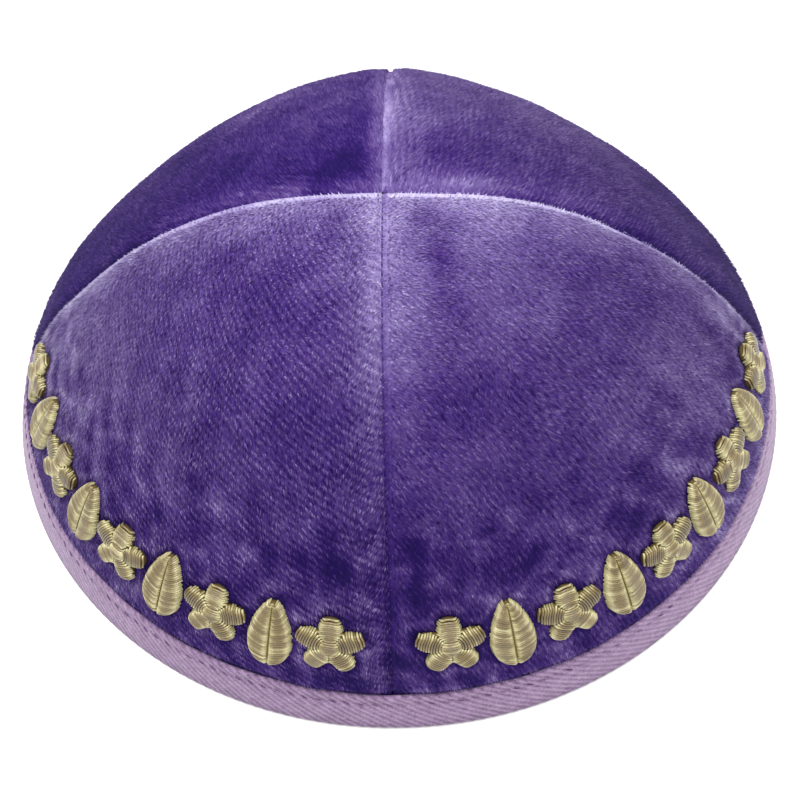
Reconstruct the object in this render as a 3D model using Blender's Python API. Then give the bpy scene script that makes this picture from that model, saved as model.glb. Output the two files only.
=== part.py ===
"""A four-panel velvet skullcap with a folded twill tape round its rim.

The cap stands on its rim as it does on a table. Lengths are in metres and +Z is up. -Y is the front,
where the raised embroidery is, and left and right are as seen from there. The origin is the centre of
the rim, on the floor. Every piece takes its place from one smooth outer face, which cloth_point gives,
and from its depth below that face.
"""

import math
from collections import namedtuple

import bmesh
import bpy
import numpy as np

# Driving dimensions of the cap
RIM_WIDTH = 0.184
RIM_DEPTH = 0.168
CROWN_HEIGHT = 0.071

# The cloth
PANEL_WALL = 0.0020
HEM_WALL = 0.0014
SEAM_GAP = 0.0003
SEAM_DIP = 0.0006
SEAM_ROLL = 0.0025
SEAM_EASE = 0.003

# The tape folded over the rim
TAPE_WALL = 0.0008
TAPE_REACH = 0.012
FOLD_RADIUS = 0.0008
STEP_REACH = 0.0022
CLEARANCE = 0.0003

# The embroidery, a row of flowers and leaves along the front half
FLOWER_SPAN = 0.0140
FLOWER_NOTCH = 0.38
FLOWER_PETALS = 5
LEAF_HEIGHT = 0.0165
LEAF_WIDTH = 0.0085
MOTIF_RISE = 0.0008
MOTIF_BEVEL = 0.0005
MOTIF_BAND = 0.0152
MOTIF_MARGIN = 0.0115
MOTIFS_PER_PANEL = 9

# How finely the smooth face is cut up
PROFILE_STEPS = 240
PANEL_COLUMNS = 24
PANEL_ROWS = 14
TAPE_SEGMENTS = 72
FLOWER_POINTS = 25
LEAF_POINTS = 16
BAND_SAMPLES = 200

# The way from the crown to the rim along a seam, as the share of it that is done and the slope there
MeridianRow = namedtuple("MeridianRow", "share slope_degrees")
MERIDIAN = (
    MeridianRow(0.00, 0.0),
    MeridianRow(0.12, 5.7),
    MeridianRow(0.25, 22.0),
    MeridianRow(0.40, 35.0),
    MeridianRow(0.55, 45.0),
    MeridianRow(0.70, 50.0),
    MeridianRow(0.85, 61.0),
    MeridianRow(1.00, 68.0),
)

# The four gores: where each starts round the rim, and how far its middle is pulled in between the seams
Panel = namedtuple("Panel", "name start_degrees pull embroidered")
PANELS = (
    Panel("panel_front_left", 180.0, 0.038, True),
    Panel("panel_front_right", 270.0, 0.012, True),
    Panel("panel_back_right", 0.0, 0.114, False),
    Panel("panel_back_left", 90.0, 0.107, False),
)
LOW_FULLNESS = 0.075
PULL_SHARPNESS = 0.19

# Soft hollows and swellings of the cloth. Across runs round the panel from its start, along runs from
# the crown to the rim, radius is a share of the rim's width and depth is a share of the wall
Dent = namedtuple("Dent", "panel across along radius depth")
DENTS = (
    Dent("panel_front_left", 0.18, 0.62, 0.070, 0.28),
    Dent("panel_front_left", 0.44, 0.70, 0.060, -0.22),
    Dent("panel_front_left", 0.70, 0.62, 0.075, 0.24),
    Dent("panel_front_left", 0.50, 0.40, 0.090, -0.20),
    Dent("panel_front_right", 0.22, 0.66, 0.065, 0.26),
    Dent("panel_front_right", 0.46, 0.62, 0.075, -0.22),
    Dent("panel_front_right", 0.74, 0.66, 0.060, 0.30),
    Dent("panel_front_right", 0.40, 0.36, 0.090, -0.20),
    Dent("panel_back_right", 0.34, 0.66, 0.080, 0.24),
    Dent("panel_back_right", 0.66, 0.52, 0.090, -0.22),
    Dent("panel_back_left", 0.36, 0.54, 0.090, -0.22),
    Dent("panel_back_left", 0.64, 0.70, 0.075, 0.26),
)

VELVET_COLOUR = (0.085, 0.030, 0.270, 1.0)
TAPE_COLOUR = (0.560, 0.400, 0.690, 1.0)
THREAD_COLOUR = (0.470, 0.400, 0.170, 1.0)


def smooth_step(low, high, value):
    """Rise from 0 at low to 1 at high, level at both ends."""
    share = min(max((value - low) / (high - low), 0.0), 1.0)
    return share * share * (3.0 - 2.0 * share)


def slope_at(share):
    """The slope in radians at a share of the meridian, on a smooth curve through the table's rows."""
    last = len(MERIDIAN) - 2
    index = next((i for i in range(last) if share < MERIDIAN[i + 1].share), last)
    rows = [MERIDIAN[min(max(index + step, 0), last + 1)] for step in (-1, 0, 1, 2)]
    before, start, end, after = rows
    span = end.share - start.share
    tangent_start = (end.slope_degrees - before.slope_degrees) / (end.share - before.share)
    tangent_end = (after.slope_degrees - start.slope_degrees) / (after.share - start.share)
    u = (share - start.share) / span
    degrees = (
        start.slope_degrees * (1 + 2 * u) * (1 - u) ** 2
        + end.slope_degrees * u * u * (3 - 2 * u)
        + span * tangent_start * u * (1 - u) ** 2
        + span * tangent_end * u * u * (u - 1)
    )
    return math.radians(degrees)


def meridian_curve():
    """Shares of the way down with the reach and the height there, both as shares of the cap's own."""
    middles = (np.arange(PROFILE_STEPS) + 0.5) / PROFILE_STEPS
    slopes = np.array([slope_at(share) for share in middles])
    reach = np.concatenate(([0.0], np.cumsum(np.cos(slopes))))
    fall = np.concatenate(([0.0], np.cumsum(np.sin(slopes))))
    return np.linspace(0.0, 1.0, PROFILE_STEPS + 1), reach / reach[-1], 1.0 - fall / fall[-1]


SHARES, REACHES, HEIGHTS = meridian_curve()
SIDE_ARC = float(np.sum(np.hypot(np.diff(REACHES) * RIM_WIDTH / 2, np.diff(HEIGHTS) * CROWN_HEIGHT)))
TAPE_TOP = 1.0 - TAPE_REACH / SIDE_ARC
STEP_TOP = TAPE_TOP - STEP_REACH / SIDE_ARC
LEVEL_FROM = 2.0 * TAPE_TOP - 1.0
HEM_DEPTH = TAPE_WALL + CLEARANCE
POCKET_DEPTH = HEM_DEPTH + HEM_WALL + CLEARANCE
TAPE_DEPTH = POCKET_DEPTH + TAPE_WALL


def share_at_height(height):
    """The share of the way down at which the smooth face is at this height in metres."""
    return float(np.interp(-height / CROWN_HEIGHT, -HEIGHTS, SHARES))


def panel_at(angle):
    """The gore that holds this angle, and how far across it the angle is."""
    degrees = math.degrees(angle) % 360.0
    panel = next(p for p in PANELS if 0.0 <= (degrees - p.start_degrees) % 360.0 < 90.0)
    return panel, ((degrees - panel.start_degrees) % 360.0) / 90.0


def pulled_reach(angle, reach, pull):
    """The reach of the cloth once its middle is pulled in between two seams."""
    edge = PULL_SHARPNESS
    middle = math.sqrt(math.sin(2.0 * angle) ** 2 + edge * edge) - edge
    middle /= math.sqrt(1.0 + edge * edge) - edge
    amount = pull * (1.0 - reach ** 3) - LOW_FULLNESS * reach * (1.0 - reach)
    return reach * (1.0 - amount * middle)


def cloth_point(angle, share, depth, pull):
    """A point at a depth below the smooth outer face. The wall is level where the tape folds round it."""
    reach = pulled_reach(angle, float(np.interp(share, SHARES, REACHES)), pull)
    height = CROWN_HEIGHT * float(np.interp(share, SHARES, HEIGHTS))
    out = (math.cos(angle) * RIM_WIDTH / 2, math.sin(angle) * RIM_DEPTH / 2)
    radius = math.hypot(*out)
    low = float(np.interp(share - 1.0 / PROFILE_STEPS, SHARES, REACHES))
    high = float(np.interp(share + 1.0 / PROFILE_STEPS, SHARES, REACHES))
    drop = float(np.interp(share - 1.0 / PROFILE_STEPS, SHARES, HEIGHTS))
    drop -= float(np.interp(share + 1.0 / PROFILE_STEPS, SHARES, HEIGHTS))
    slope = math.atan2(drop * CROWN_HEIGHT, (high - low) * radius)
    turned = slope + (math.pi / 2 - slope) * smooth_step(LEVEL_FROM, TAPE_TOP, share)
    stretch = depth / math.cos(turned - slope)
    inward = stretch * math.sin(turned) / radius
    return (out[0] * (reach - inward), out[1] * (reach - inward), height - stretch * math.cos(turned))


def dent_depth(panel, across, share):
    """How far the cloth lies below the smooth face, from the table of hollows and swellings."""
    total = 0.0
    for dent in DENTS:
        if dent.panel != panel.name:
            continue
        reach = float(np.interp(share, SHARES, REACHES))
        beside = (across - dent.across) * reach * math.pi / 4
        below = (share - dent.along) * SIDE_ARC / RIM_WIDTH
        total += dent.depth * PANEL_WALL * math.exp(-(beside ** 2 + below ** 2) / dent.radius ** 2)
    fade_to_seams = math.sin(math.pi * across) ** 2
    return total * fade_to_seams * (1.0 - smooth_step(LEVEL_FROM, STEP_TOP, share))


def seam_depth(point):
    """How far the cloth rolls down into the nearest seam."""
    beside = min(abs(point[0]), abs(point[1]))
    return SEAM_DIP * math.exp(-(beside / SEAM_ROLL) ** 2)


def face_depth(panel, across, angle, share):
    """The depth of the velvet face: its dents, its roll into the seams and its step under the tape."""
    tucked = smooth_step(STEP_TOP, TAPE_TOP, share)
    surface = cloth_point(angle, share, 0.0, panel.pull)
    free = dent_depth(panel, across, share) + seam_depth(surface)
    return free * (1.0 - tucked) + HEM_DEPTH * tucked


def panel_point(panel, across, share, back=False):
    """A point of one gore's velvet face, or of its back, held clear of the seams' planes."""
    angle = math.radians(panel.start_degrees + 90.0 * across)
    depth = face_depth(panel, across, angle, share)
    if back:
        tucked = smooth_step(STEP_TOP, TAPE_TOP, share)
        depth += PANEL_WALL + (HEM_WALL - PANEL_WALL) * tucked
    point = cloth_point(angle, share, depth, panel.pull)
    middle = math.radians(panel.start_degrees + 45.0)
    sides = (math.copysign(1.0, math.cos(middle)), math.copysign(1.0, math.sin(middle)))
    eased = []
    for value, side in zip(point[:2], sides):
        away = max(value * side, 0.0)
        eased.append(side * (away + SEAM_GAP / 2 * max(0.0, 1.0 - away / SEAM_EASE)))
    return (eased[0], eased[1], point[2])


def add_object(name, mesh, material, parent):
    """Give a bmesh its outward faces, its object and its place in the cap."""
    bmesh.ops.recalc_face_normals(mesh, faces=mesh.faces)
    data = bpy.data.meshes.new(name)
    mesh.to_mesh(data)
    mesh.free()
    data.shade_smooth()
    data.set_sharp_from_angle(angle=math.radians(50))
    data.materials.append(material)
    piece = bpy.data.objects.new(name, data)
    piece.parent = parent
    bpy.context.scene.collection.objects.link(piece)
    return piece


def add_material(name, colour, roughness, sheen):
    """A plain cloth material."""
    material = bpy.data.materials.new(name)
    material.use_nodes = True
    shader = material.node_tree.nodes["Principled BSDF"]
    shader.inputs["Base Color"].default_value = colour
    shader.inputs["Roughness"].default_value = roughness
    shader.inputs["Metallic"].default_value = 0.0
    shader.inputs["Sheen Weight"].default_value = sheen
    return material


def panel_shares():
    """The rows of a gore, closer together where the cloth steps under the tape."""
    upper = [STEP_TOP * row / PANEL_ROWS for row in range(1, PANEL_ROWS + 1)]
    bottom = share_at_height(TAPE_WALL + CLEARANCE)
    return upper + [TAPE_TOP, (TAPE_TOP + bottom) / 2, bottom]


def panel_columns():
    """The columns of a gore, from seam to seam and closer together beside the seams."""
    steps = [column / PANEL_COLUMNS for column in range(PANEL_COLUMNS + 1)]
    return [step - 0.5 * math.sin(2.0 * math.pi * step) / (2.0 * math.pi) for step in steps]


def panel_sheet(mesh, panel, back):
    """One face of a gore, as its crown point and its rows of points."""
    crown = mesh.verts.new(panel_point(panel, 0.5, 0.0, back))
    rows = [[mesh.verts.new(panel_point(panel, across, share, back)) for across in panel_columns()]
            for share in panel_shares()]
    for first, second in zip(rows[0], rows[0][1:]):
        mesh.faces.new((crown, first, second))
    for upper, lower in zip(rows, rows[1:]):
        for column in range(PANEL_COLUMNS):
            mesh.faces.new((upper[column], lower[column], lower[column + 1], upper[column + 1]))
    return crown, rows


def make_panel(panel, material, parent):
    """One gore of velvet: its face, its back, its two seam edges and its hem."""
    mesh = bmesh.new()
    face_crown, face_rows = panel_sheet(mesh, panel, back=False)
    back_crown, back_rows = panel_sheet(mesh, panel, back=True)
    for column in (0, PANEL_COLUMNS):
        face_edge = [face_crown] + [row[column] for row in face_rows]
        back_edge = [back_crown] + [row[column] for row in back_rows]
        for i in range(len(face_edge) - 1):
            mesh.faces.new((face_edge[i], face_edge[i + 1], back_edge[i + 1], back_edge[i]))
    for column in range(PANEL_COLUMNS):
        face_pair = (face_rows[-1][column], face_rows[-1][column + 1])
        back_pair = (back_rows[-1][column + 1], back_rows[-1][column])
        mesh.faces.new(face_pair + back_pair)
    return add_object(panel.name, mesh, material, parent)


def tape_section():
    """The folded tape's section, as pairs of a share of the way down and a depth below its outer face."""
    corner = 0.3 * FOLD_RADIUS
    middle = (TAPE_TOP + 1.0) / 2
    round_top = share_at_height(FOLD_RADIUS)
    round_middle = share_at_height(corner)
    floor = share_at_height(TAPE_WALL)
    return [
        (TAPE_TOP, 0.0),
        (middle, 0.0),
        (round_top, 0.0),
        (round_middle, corner),
        (1.0, FOLD_RADIUS),
        (1.0, TAPE_DEPTH - FOLD_RADIUS),
        (round_middle, TAPE_DEPTH - corner),
        (round_top, TAPE_DEPTH),
        (middle, TAPE_DEPTH),
        (TAPE_TOP, TAPE_DEPTH),
        (TAPE_TOP, POCKET_DEPTH),
        (middle, POCKET_DEPTH),
        (floor, POCKET_DEPTH),
        (floor, TAPE_WALL),
        (middle, TAPE_WALL),
        (TAPE_TOP, TAPE_WALL),
    ]


def make_tape(material, parent):
    """The tape that is folded over the hems of all four gores, as one closed ring."""
    mesh = bmesh.new()
    rings = []
    for segment in range(TAPE_SEGMENTS):
        angle = 2.0 * math.pi * segment / TAPE_SEGMENTS
        pull = panel_at(angle)[0].pull
        rings.append([mesh.verts.new(cloth_point(angle, share, depth, pull))
                      for share, depth in tape_section()])
    corners = len(rings[0])
    for segment in range(TAPE_SEGMENTS):
        here, there = rings[segment], rings[(segment + 1) % TAPE_SEGMENTS]
        for i in range(corners):
            j = (i + 1) % corners
            mesh.faces.new((here[i], there[i], there[j], here[j]))
    return add_object("rim_binding", mesh, material, parent)


def flower_outline():
    """Round petals about a centre, the first one upright."""
    half = FLOWER_SPAN / 2
    outline = []
    for i in range(FLOWER_POINTS):
        turn = 2.0 * math.pi * i / FLOWER_POINTS
        petal = 1.0 - FLOWER_NOTCH * (0.5 - 0.5 * math.cos(FLOWER_PETALS * turn))
        outline.append((half * petal * math.sin(turn), half * petal * math.cos(turn)))
    return outline


def leaf_outline():
    """One upright leaf, round below and pointed above."""
    outline = []
    for i in range(LEAF_POINTS):
        turn = 2.0 * math.pi * i / LEAF_POINTS
        up = math.cos(turn)
        width = LEAF_WIDTH / 2 * math.sin(turn) * (1.0 - 0.35 * up)
        outline.append((width, LEAF_HEIGHT / 2 * up))
    return outline


def band_places(panel):
    """The angles of one panel's motifs, evenly spaced along the band between its two seams."""
    share = TAPE_TOP - MOTIF_BAND / SIDE_ARC
    steps = [i / BAND_SAMPLES for i in range(BAND_SAMPLES + 1)]
    points = np.array([panel_point(panel, across, share) for across in steps])
    run = np.concatenate(([0.0], np.cumsum(np.linalg.norm(np.diff(points, axis=0), axis=1))))
    first, last = MOTIF_MARGIN, run[-1] - MOTIF_MARGIN
    pitch = (last - first) / (MOTIFS_PER_PANEL - 1)
    return [float(np.interp(first + pitch * i, run, steps)) for i in range(MOTIFS_PER_PANEL)], share


def point_above(panel, across, share, lift):
    """A point at a height above the velvet face, square to it."""
    step = 0.002
    here = np.array(panel_point(panel, across, share))
    beside = np.array(panel_point(panel, across + step, share)) - here
    below = np.array(panel_point(panel, across, share + step)) - here
    normal = np.cross(below, beside)
    return here + normal * (lift / np.linalg.norm(normal))


def on_panel(panel, across, share, right, up):
    """The place on the gore that lies this far to the right of a place and above it, in metres."""
    step = 0.002
    here = np.array(panel_point(panel, across, share))
    along = np.linalg.norm(np.array(panel_point(panel, across, share + step)) - here) / step
    moved = share - up / along
    level = np.array(panel_point(panel, across, moved))
    beside = np.linalg.norm(np.array(panel_point(panel, across + step, moved)) - level) / step
    return across + right / beside, moved


def make_motif(name, panel, place, outline, material, parent):
    """One embroidered pad that follows the cloth, flat below and bevelled above."""
    mesh = bmesh.new()
    across, share = place
    half = max(math.hypot(*point) for point in outline)
    inner = 1.0 - MOTIF_BEVEL / half
    rings = []
    for scale, lift in ((1.0, 0.0), (1.0, MOTIF_RISE - MOTIF_BEVEL), (inner, MOTIF_RISE)):
        ring = []
        for right, up in outline:
            spot = on_panel(panel, across, share, right * scale, up * scale)
            ring.append(mesh.verts.new(point_above(panel, *spot, CLEARANCE + lift)))
        rings.append(ring)
    count = len(outline)
    for lower, upper in zip(rings, rings[1:]):
        for i in range(count):
            j = (i + 1) % count
            mesh.faces.new((lower[i], lower[j], upper[j], upper[i]))
    for ring, lift in ((rings[0], 0.0), (rings[-1], MOTIF_RISE)):
        centre = mesh.verts.new(point_above(panel, across, share, CLEARANCE + lift))
        for i in range(count):
            mesh.faces.new((ring[i], ring[(i + 1) % count], centre))
    return add_object(name, mesh, material, parent)


def make_embroidery(material, parent):
    """The row of motifs on each front gore: a flower at both ends, then leaves and flowers by turns."""
    for panel in PANELS:
        if not panel.embroidered:
            continue
        side = panel.name.replace("panel_front_", "")
        places, share = band_places(panel)
        for i, across in enumerate(places):
            kind, outline = ("flower", flower_outline()) if i % 2 == 0 else ("leaf", leaf_outline())
            make_motif(f"{kind}_{side}_{i + 1}", panel, (across, share), outline, material, parent)


def clear_scene():
    """Remove what the scene holds at the start."""
    for piece in list(bpy.data.objects):
        bpy.data.objects.remove(piece, do_unlink=True)


def main():
    """Build the whole cap."""
    clear_scene()
    cap = bpy.data.objects.new("skullcap", None)
    bpy.context.scene.collection.objects.link(cap)
    velvet = add_material("velvet", VELVET_COLOUR, 0.8, 0.5)
    twill = add_material("twill", TAPE_COLOUR, 0.85, 0.1)
    thread = add_material("thread", THREAD_COLOUR, 0.45, 0.0)
    for panel in PANELS:
        make_panel(panel, velvet, cap)
    make_tape(twill, cap)
    make_embroidery(thread, cap)


main()
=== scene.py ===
"""The looks of the velvet skullcap: its pile, seams, twill tape and satin-stitch embroidery.

Lengths are in metres and +Z is up. -Y is the front. The cloth's form repeats the one in the part's own
source, and every piece here takes its place from that smooth outer face and from a depth below it.
"""

import itertools
import math
from collections import namedtuple

import bpy
import numpy as np
from mathutils import Matrix, Vector


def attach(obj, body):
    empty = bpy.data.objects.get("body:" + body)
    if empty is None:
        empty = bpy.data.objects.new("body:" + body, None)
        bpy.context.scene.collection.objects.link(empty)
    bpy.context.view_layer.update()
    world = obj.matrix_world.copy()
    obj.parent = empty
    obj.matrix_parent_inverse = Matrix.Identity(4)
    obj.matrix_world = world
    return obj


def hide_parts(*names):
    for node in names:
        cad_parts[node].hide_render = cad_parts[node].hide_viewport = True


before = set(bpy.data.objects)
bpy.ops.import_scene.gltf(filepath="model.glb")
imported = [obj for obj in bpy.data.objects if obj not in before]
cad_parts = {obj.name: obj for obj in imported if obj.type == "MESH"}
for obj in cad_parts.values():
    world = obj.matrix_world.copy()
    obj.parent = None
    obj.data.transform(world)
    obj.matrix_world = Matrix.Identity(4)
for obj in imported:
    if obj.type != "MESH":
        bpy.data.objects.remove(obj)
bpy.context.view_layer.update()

SEED = 61

# Driving dimensions of the cap and its cloth, the same as in the part's source
RIM_WIDTH = 0.184
RIM_DEPTH = 0.168
CROWN_HEIGHT = 0.071
PANEL_WALL = 0.0020
HEM_WALL = 0.0014
SEAM_GAP = 0.0003
SEAM_DIP = 0.0006
SEAM_ROLL = 0.0025
SEAM_EASE = 0.003
TAPE_WALL = 0.0008
TAPE_REACH = 0.012
STEP_REACH = 0.0022
CLEARANCE = 0.0003
FLOWER_SPAN = 0.0140
FLOWER_NOTCH = 0.38
FLOWER_PETALS = 5
LEAF_HEIGHT = 0.0165
LEAF_WIDTH = 0.0085
MOTIF_BAND = 0.0152
MOTIF_MARGIN = 0.0115
MOTIFS_PER_PANEL = 9
PROFILE_STEPS = 240
BAND_SAMPLES = 200

# The way from the crown to the rim along a seam, as the share of it that is done and the slope there
MeridianRow = namedtuple("MeridianRow", "share slope_degrees")
MERIDIAN = (
    MeridianRow(0.00, 0.0),
    MeridianRow(0.12, 5.7),
    MeridianRow(0.25, 22.0),
    MeridianRow(0.40, 35.0),
    MeridianRow(0.55, 45.0),
    MeridianRow(0.70, 50.0),
    MeridianRow(0.85, 61.0),
    MeridianRow(1.00, 68.0),
)

# The four gores: where each starts round the rim, and how far its middle is pulled in between the seams
Panel = namedtuple("Panel", "name start_degrees pull embroidered")
PANELS = (
    Panel("panel_front_left", 180.0, 0.038, True),
    Panel("panel_front_right", 270.0, 0.012, True),
    Panel("panel_back_right", 0.0, 0.114, False),
    Panel("panel_back_left", 90.0, 0.107, False),
)
LOW_FULLNESS = 0.075
PULL_SHARPNESS = 0.19

# Soft oval spots on a gore: place, size as shares of the rim's width, and strength
Spot = namedtuple("Spot", "across along wide high strength")

# Hollows and swellings of the cloth, as in the part's source, as shares of the wall
DENTS = {
    "panel_front_left": (
        Spot(0.18, 0.62, 0.070, 0.070, 0.28),
        Spot(0.44, 0.70, 0.060, 0.060, -0.22),
        Spot(0.70, 0.62, 0.075, 0.075, 0.24),
        Spot(0.50, 0.40, 0.090, 0.090, -0.20),
    ),
    "panel_front_right": (
        Spot(0.22, 0.66, 0.065, 0.065, 0.26),
        Spot(0.46, 0.62, 0.075, 0.075, -0.22),
        Spot(0.74, 0.66, 0.060, 0.060, 0.30),
        Spot(0.40, 0.36, 0.090, 0.090, -0.20),
    ),
    "panel_back_right": (
        Spot(0.34, 0.66, 0.080, 0.080, 0.24),
        Spot(0.66, 0.52, 0.090, 0.090, -0.22),
    ),
    "panel_back_left": (
        Spot(0.36, 0.54, 0.090, 0.090, -0.22),
        Spot(0.64, 0.70, 0.075, 0.075, 0.26),
    ),
}

# The velvet
GORE_COLUMNS = 84
GORE_ROWS = 84
GORE_STEP_ROWS = 8
GORE_HEM_ROWS = 4
GORE_CROWDING = 0.78
MAP_FILL = 0.96
MAP_MARGIN = 0.02
MAP_HEIGHT = 0.46
AREA_STEPS = 60
ROW_SAMPLES = 81
PILE_SINK = 0.0004
VALLEY_DEPTH = 0.0002
VALLEY_ROLL = 0.0009
RIPPLE_RISE = 0.00011
LINING_RIPPLE = 0.6
PRESS_DEPTH = 0.0004
PRESS_REACH = 0.0014
PUFF_RISE = 0.00035
PUFF_REACH = 0.0016
ALLOWANCE_REACH = 0.0065
ALLOWANCE_WALL = 0.0006

# The nap's shade: painted sheen and shade over the gores and by their seams, a soft random unevenness,
# painted shading of puckers by the stitching, a painted shadow and light rim round each motif, and a
# painted shadow by the tape
SIDE_BLEND = (0.1, 0.9)
CROWN_BLEND = (0.04, 0.22)
FOOT_BLEND = (0.30, 0.75)
PAINTED_SEAM_SHEEN_SHARES = (0.03, 0.20, 0.45, 0.85)
CLOUD_SHADE = 0.045
BLOTCH_SHADE = 0.03
STITCHED_BLEND = (0.50, 0.66)
STITCHED_PUCKER_PAINTED_SHADE = 0.08
PUCKER_SHADING_SHARPNESS = 0.22
PUCKER_PAINTED_SHADE = 0.16
PUCKER_SHADING_MEAN = 0.3
MOTIF_PAINTED_SHADOW = 0.15
MOTIF_PAINTED_SHADOW_REACH = 0.0012
MOTIF_PAINTED_RIM_LIGHT = 0.12
MOTIF_PAINTED_RIM_GAP = 0.0026
MOTIF_PAINTED_RIM_REACH = 0.0009
TAPE_EDGE_PAINTED_SHADOW = 0.10
TAPE_EDGE_SHADOW_REACH = 0.0012

# The pile
TUFT_SPACING = 0.00046
TUFT_LENGTH = 0.00100
TUFT_HALF_WIDTH = 0.00021
TUFT_ROOT = 0.00012
TUFT_LENGTH_SPREAD = 0.5
TUFT_WIDTH_SPREAD = 0.4
TUFT_HEEL = 0.9
TUFT_LEAN_DEGREES = 57.0
TUFT_LEAN_SCATTER_DEGREES = 9.0
TUFT_EDGE_LEAN_DEGREES = 18.0
TUFT_EDGE_REACH = 0.0020
OVERLAP_REACH = 0.0010
OVERLAP_LEAN_DEGREES = 60.0
OVERLAP_LENGTH = 0.7
TUFT_TAPE_MARGIN = 0.0009
TUFT_FIRST_ROW = 0.4
TUFT_MOTIF_OVERLAP = 0.0003
TUFT_CROWN_SHARE = 0.001
TUFT_SWIRL_DEGREES = 15.0
TUFT_SCATTER = 0.20
TUFT_BEND = 0.12
TUFT_ROOT_BEND = 0.15
TUFT_TIP_BEND = 0.4
TUFT_FACES = ((0, 1, 2), (1, 0, 3), (2, 1, 3), (0, 2, 3))
PARTING = 1.3
PARTING_REACH = 0.010
SHADE_COUNT = 12
SHADE_SCATTER = 0.11
CLUMP_SHADE = 0.055
LOW_GRAIN = 0.2
LOW_GRAIN_BLEND = (0.15, 0.5)
PALE_GRAIN = 0.66
ROW_PITCH = 0.00122
ROW_WANDER = 0.9

# The twill tape
RIB_COUNT = 250
COLUMNS_PER_RIB = 5
RIB_RUN = 1.375
RIB_RISE = 0.00006
TAPE_FOLD_HEIGHT = 0.0015
TAPE_FOLD_STEPS = 8
TAPE_FOLD_SHARPNESS = 0.8
TAPE_EDGE = ((0.00055, 0.00002), (0.00020, -0.00004))
TAPE_DROPS = (0.00025, 0.0007, 0.0012, 0.0016, 0.0019, 0.0022, 0.0025, 0.0028, 0.0032, 0.0039, 0.0049,
              0.0060, 0.0071, 0.0082)
TAPE_FLOOR_GAP = 0.0001
TAPE_GROOVE = 0.0022
TAPE_GROOVE_DEPTH = 0.00013
TAPE_GROOVE_REACH = 0.0008
TAPE_SHADE = 0.33
POCKET_SHADE = 0.4
POCKET_POINTS = 4
# Painted shade on the tape: in its rib valleys, fainter at its sides, in its stitched groove, on its
# front and towards its fold
RIB_PAINTED_SHADE = 0.44
SIDE_RIB_SHADE_FADE = 0.45
GROOVE_PAINTED_SHADE = 0.10
FRONT_TAPE_PAINTED_SHADE = 0.16
FOLD_PAINTED_SHADE = 0.40
FOLD_PAINTED_SHADE_HEIGHT = 0.0035
EDGE_WAVER = 0.00018
EDGE_WAVER_FROM = 0.55
LOCK_PITCH = 0.0029
LOCK_LENGTH = 0.0018
LOCK_STEPS = 6
LOCK_SLANT = 0.55
LOCK_SINK = 0.00005
LOCK_ARCH = 0.00010
LOCK_WAVER = 0.6
LOCK_RADIUS = 0.00019
LOCK_END_RADIUS = 0.45
LOCK_THINNEST = 0.55
LOCK_TONE_SPREAD = 0.18
LOCK_PALEST_SIDE = math.radians(40.0)

# How the tape's upper edge wavers, as waves round the rim
EdgeWave = namedtuple("EdgeWave", "count height phase")
EDGE_WAVES = (EdgeWave(37, 0.5, 1.1), EdgeWave(61, 0.35, 0.0), EdgeWave(13, 0.4, 0.0))

# The seams
SEAM_STITCH_PITCH = 0.0021
SEAM_STITCH_LENGTH = 0.0009
SEAM_STITCH_RADIUS = 0.00012
SEAM_STITCH_ARCH = 1.2
SEAM_STITCH_SHADE = 0.26
SEAM_STITCH_STEPS = 5
SEAM_STITCH_FROM = 0.03
SEAM_STITCH_MARGIN = 0.01
SEAM_CORD_STEPS = 120
SEAM_CORD_FROM = 0.004
SEAM_CORD_RADIUS = 0.00024
SEAM_CORD_SINK = 0.00028
SEAM_FLOOR = SEAM_DIP + VALLEY_DEPTH + PILE_SINK

# The seam at each gore's start: how much painted shade darkens its groove below the nap beside it,
# painted light where it is below nothing, and whether its stitches show
Seam = namedtuple("Seam", "darker stitched")
SEAMS = {
    "panel_front_left": Seam(0.10, False),
    "panel_front_right": Seam(0.16, True),
    "panel_back_right": Seam(0.10, False),
    "panel_back_left": Seam(-0.10, False),
}

# The embroidery
THREAD_PITCH = 0.00050
THREAD_RADIUS = 0.00026
THREAD_END_RADIUS = 0.80
THREAD_STRAY = 0.00005
PETAL_ROUNDNESS = 1.7
PETAL_TIP = 0.0005
PETAL_FOOT = 0.95
PETAL_GAP = 0.0001
PETAL_BOW = 0.00035
PETAL_SAMPLES = 60
SHORTEST_PETAL_THREAD = 0.0004
THREAD_STEPS = 8
THREAD_SIDES = 6
THREAD_TOP = 0.00078
THREAD_FOOT = -0.0005
EDGE_ROLL = 0.0010
MIDRIB_DEPTH = 0.0006
MIDRIB_REACH = 0.00045
CORE_FOOT = -0.0006
CORE_TOP = 0.00050
CORE_SIDES = 40
BUTTON_RADIUS = 0.0020
BUTTON_RISE = 0.00045
BUTTON_FOOT = 0.0004
BUTTON_OVERHANG = 0.0002
LEAF_TAPER = 0.35
LEAF_SLANT_DEGREES = 22.0
LEAF_TIP_DEGREES = 48.0
LEAF_FIRST_THREAD = 0.0001
LEAF_LAST_THREAD = 0.0008
LEAF_BOW = 0.0003
LEAF_MIDRIB_GAP = 0.00008
SHORTEST_LEAF_THREAD = 0.0006
LEAF_SAMPLES = 160
UP_STEP = 0.002
# Painted sheen on the satin stitches: paler at each stitch's ends, and paler where it runs level
STITCH_END_PAINTED_SHEEN = 0.7
STITCH_END_SHEEN_MEAN = 0.35
LEVEL_THREAD_PAINTED_SHEEN = 0.17
THREAD_TONE_SPREAD = 0.13

# The underlay of a motif: the share of its outline that each ring has, and its lift over the cloth
CoreRing = namedtuple("CoreRing", "scale lift")
CORE_RINGS = (
    CoreRing(0.97, CORE_FOOT),
    CoreRing(0.94, 0.4 * CORE_TOP),
    CoreRing(0.78, CORE_TOP),
    CoreRing(0.40, CORE_TOP),
)

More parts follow.
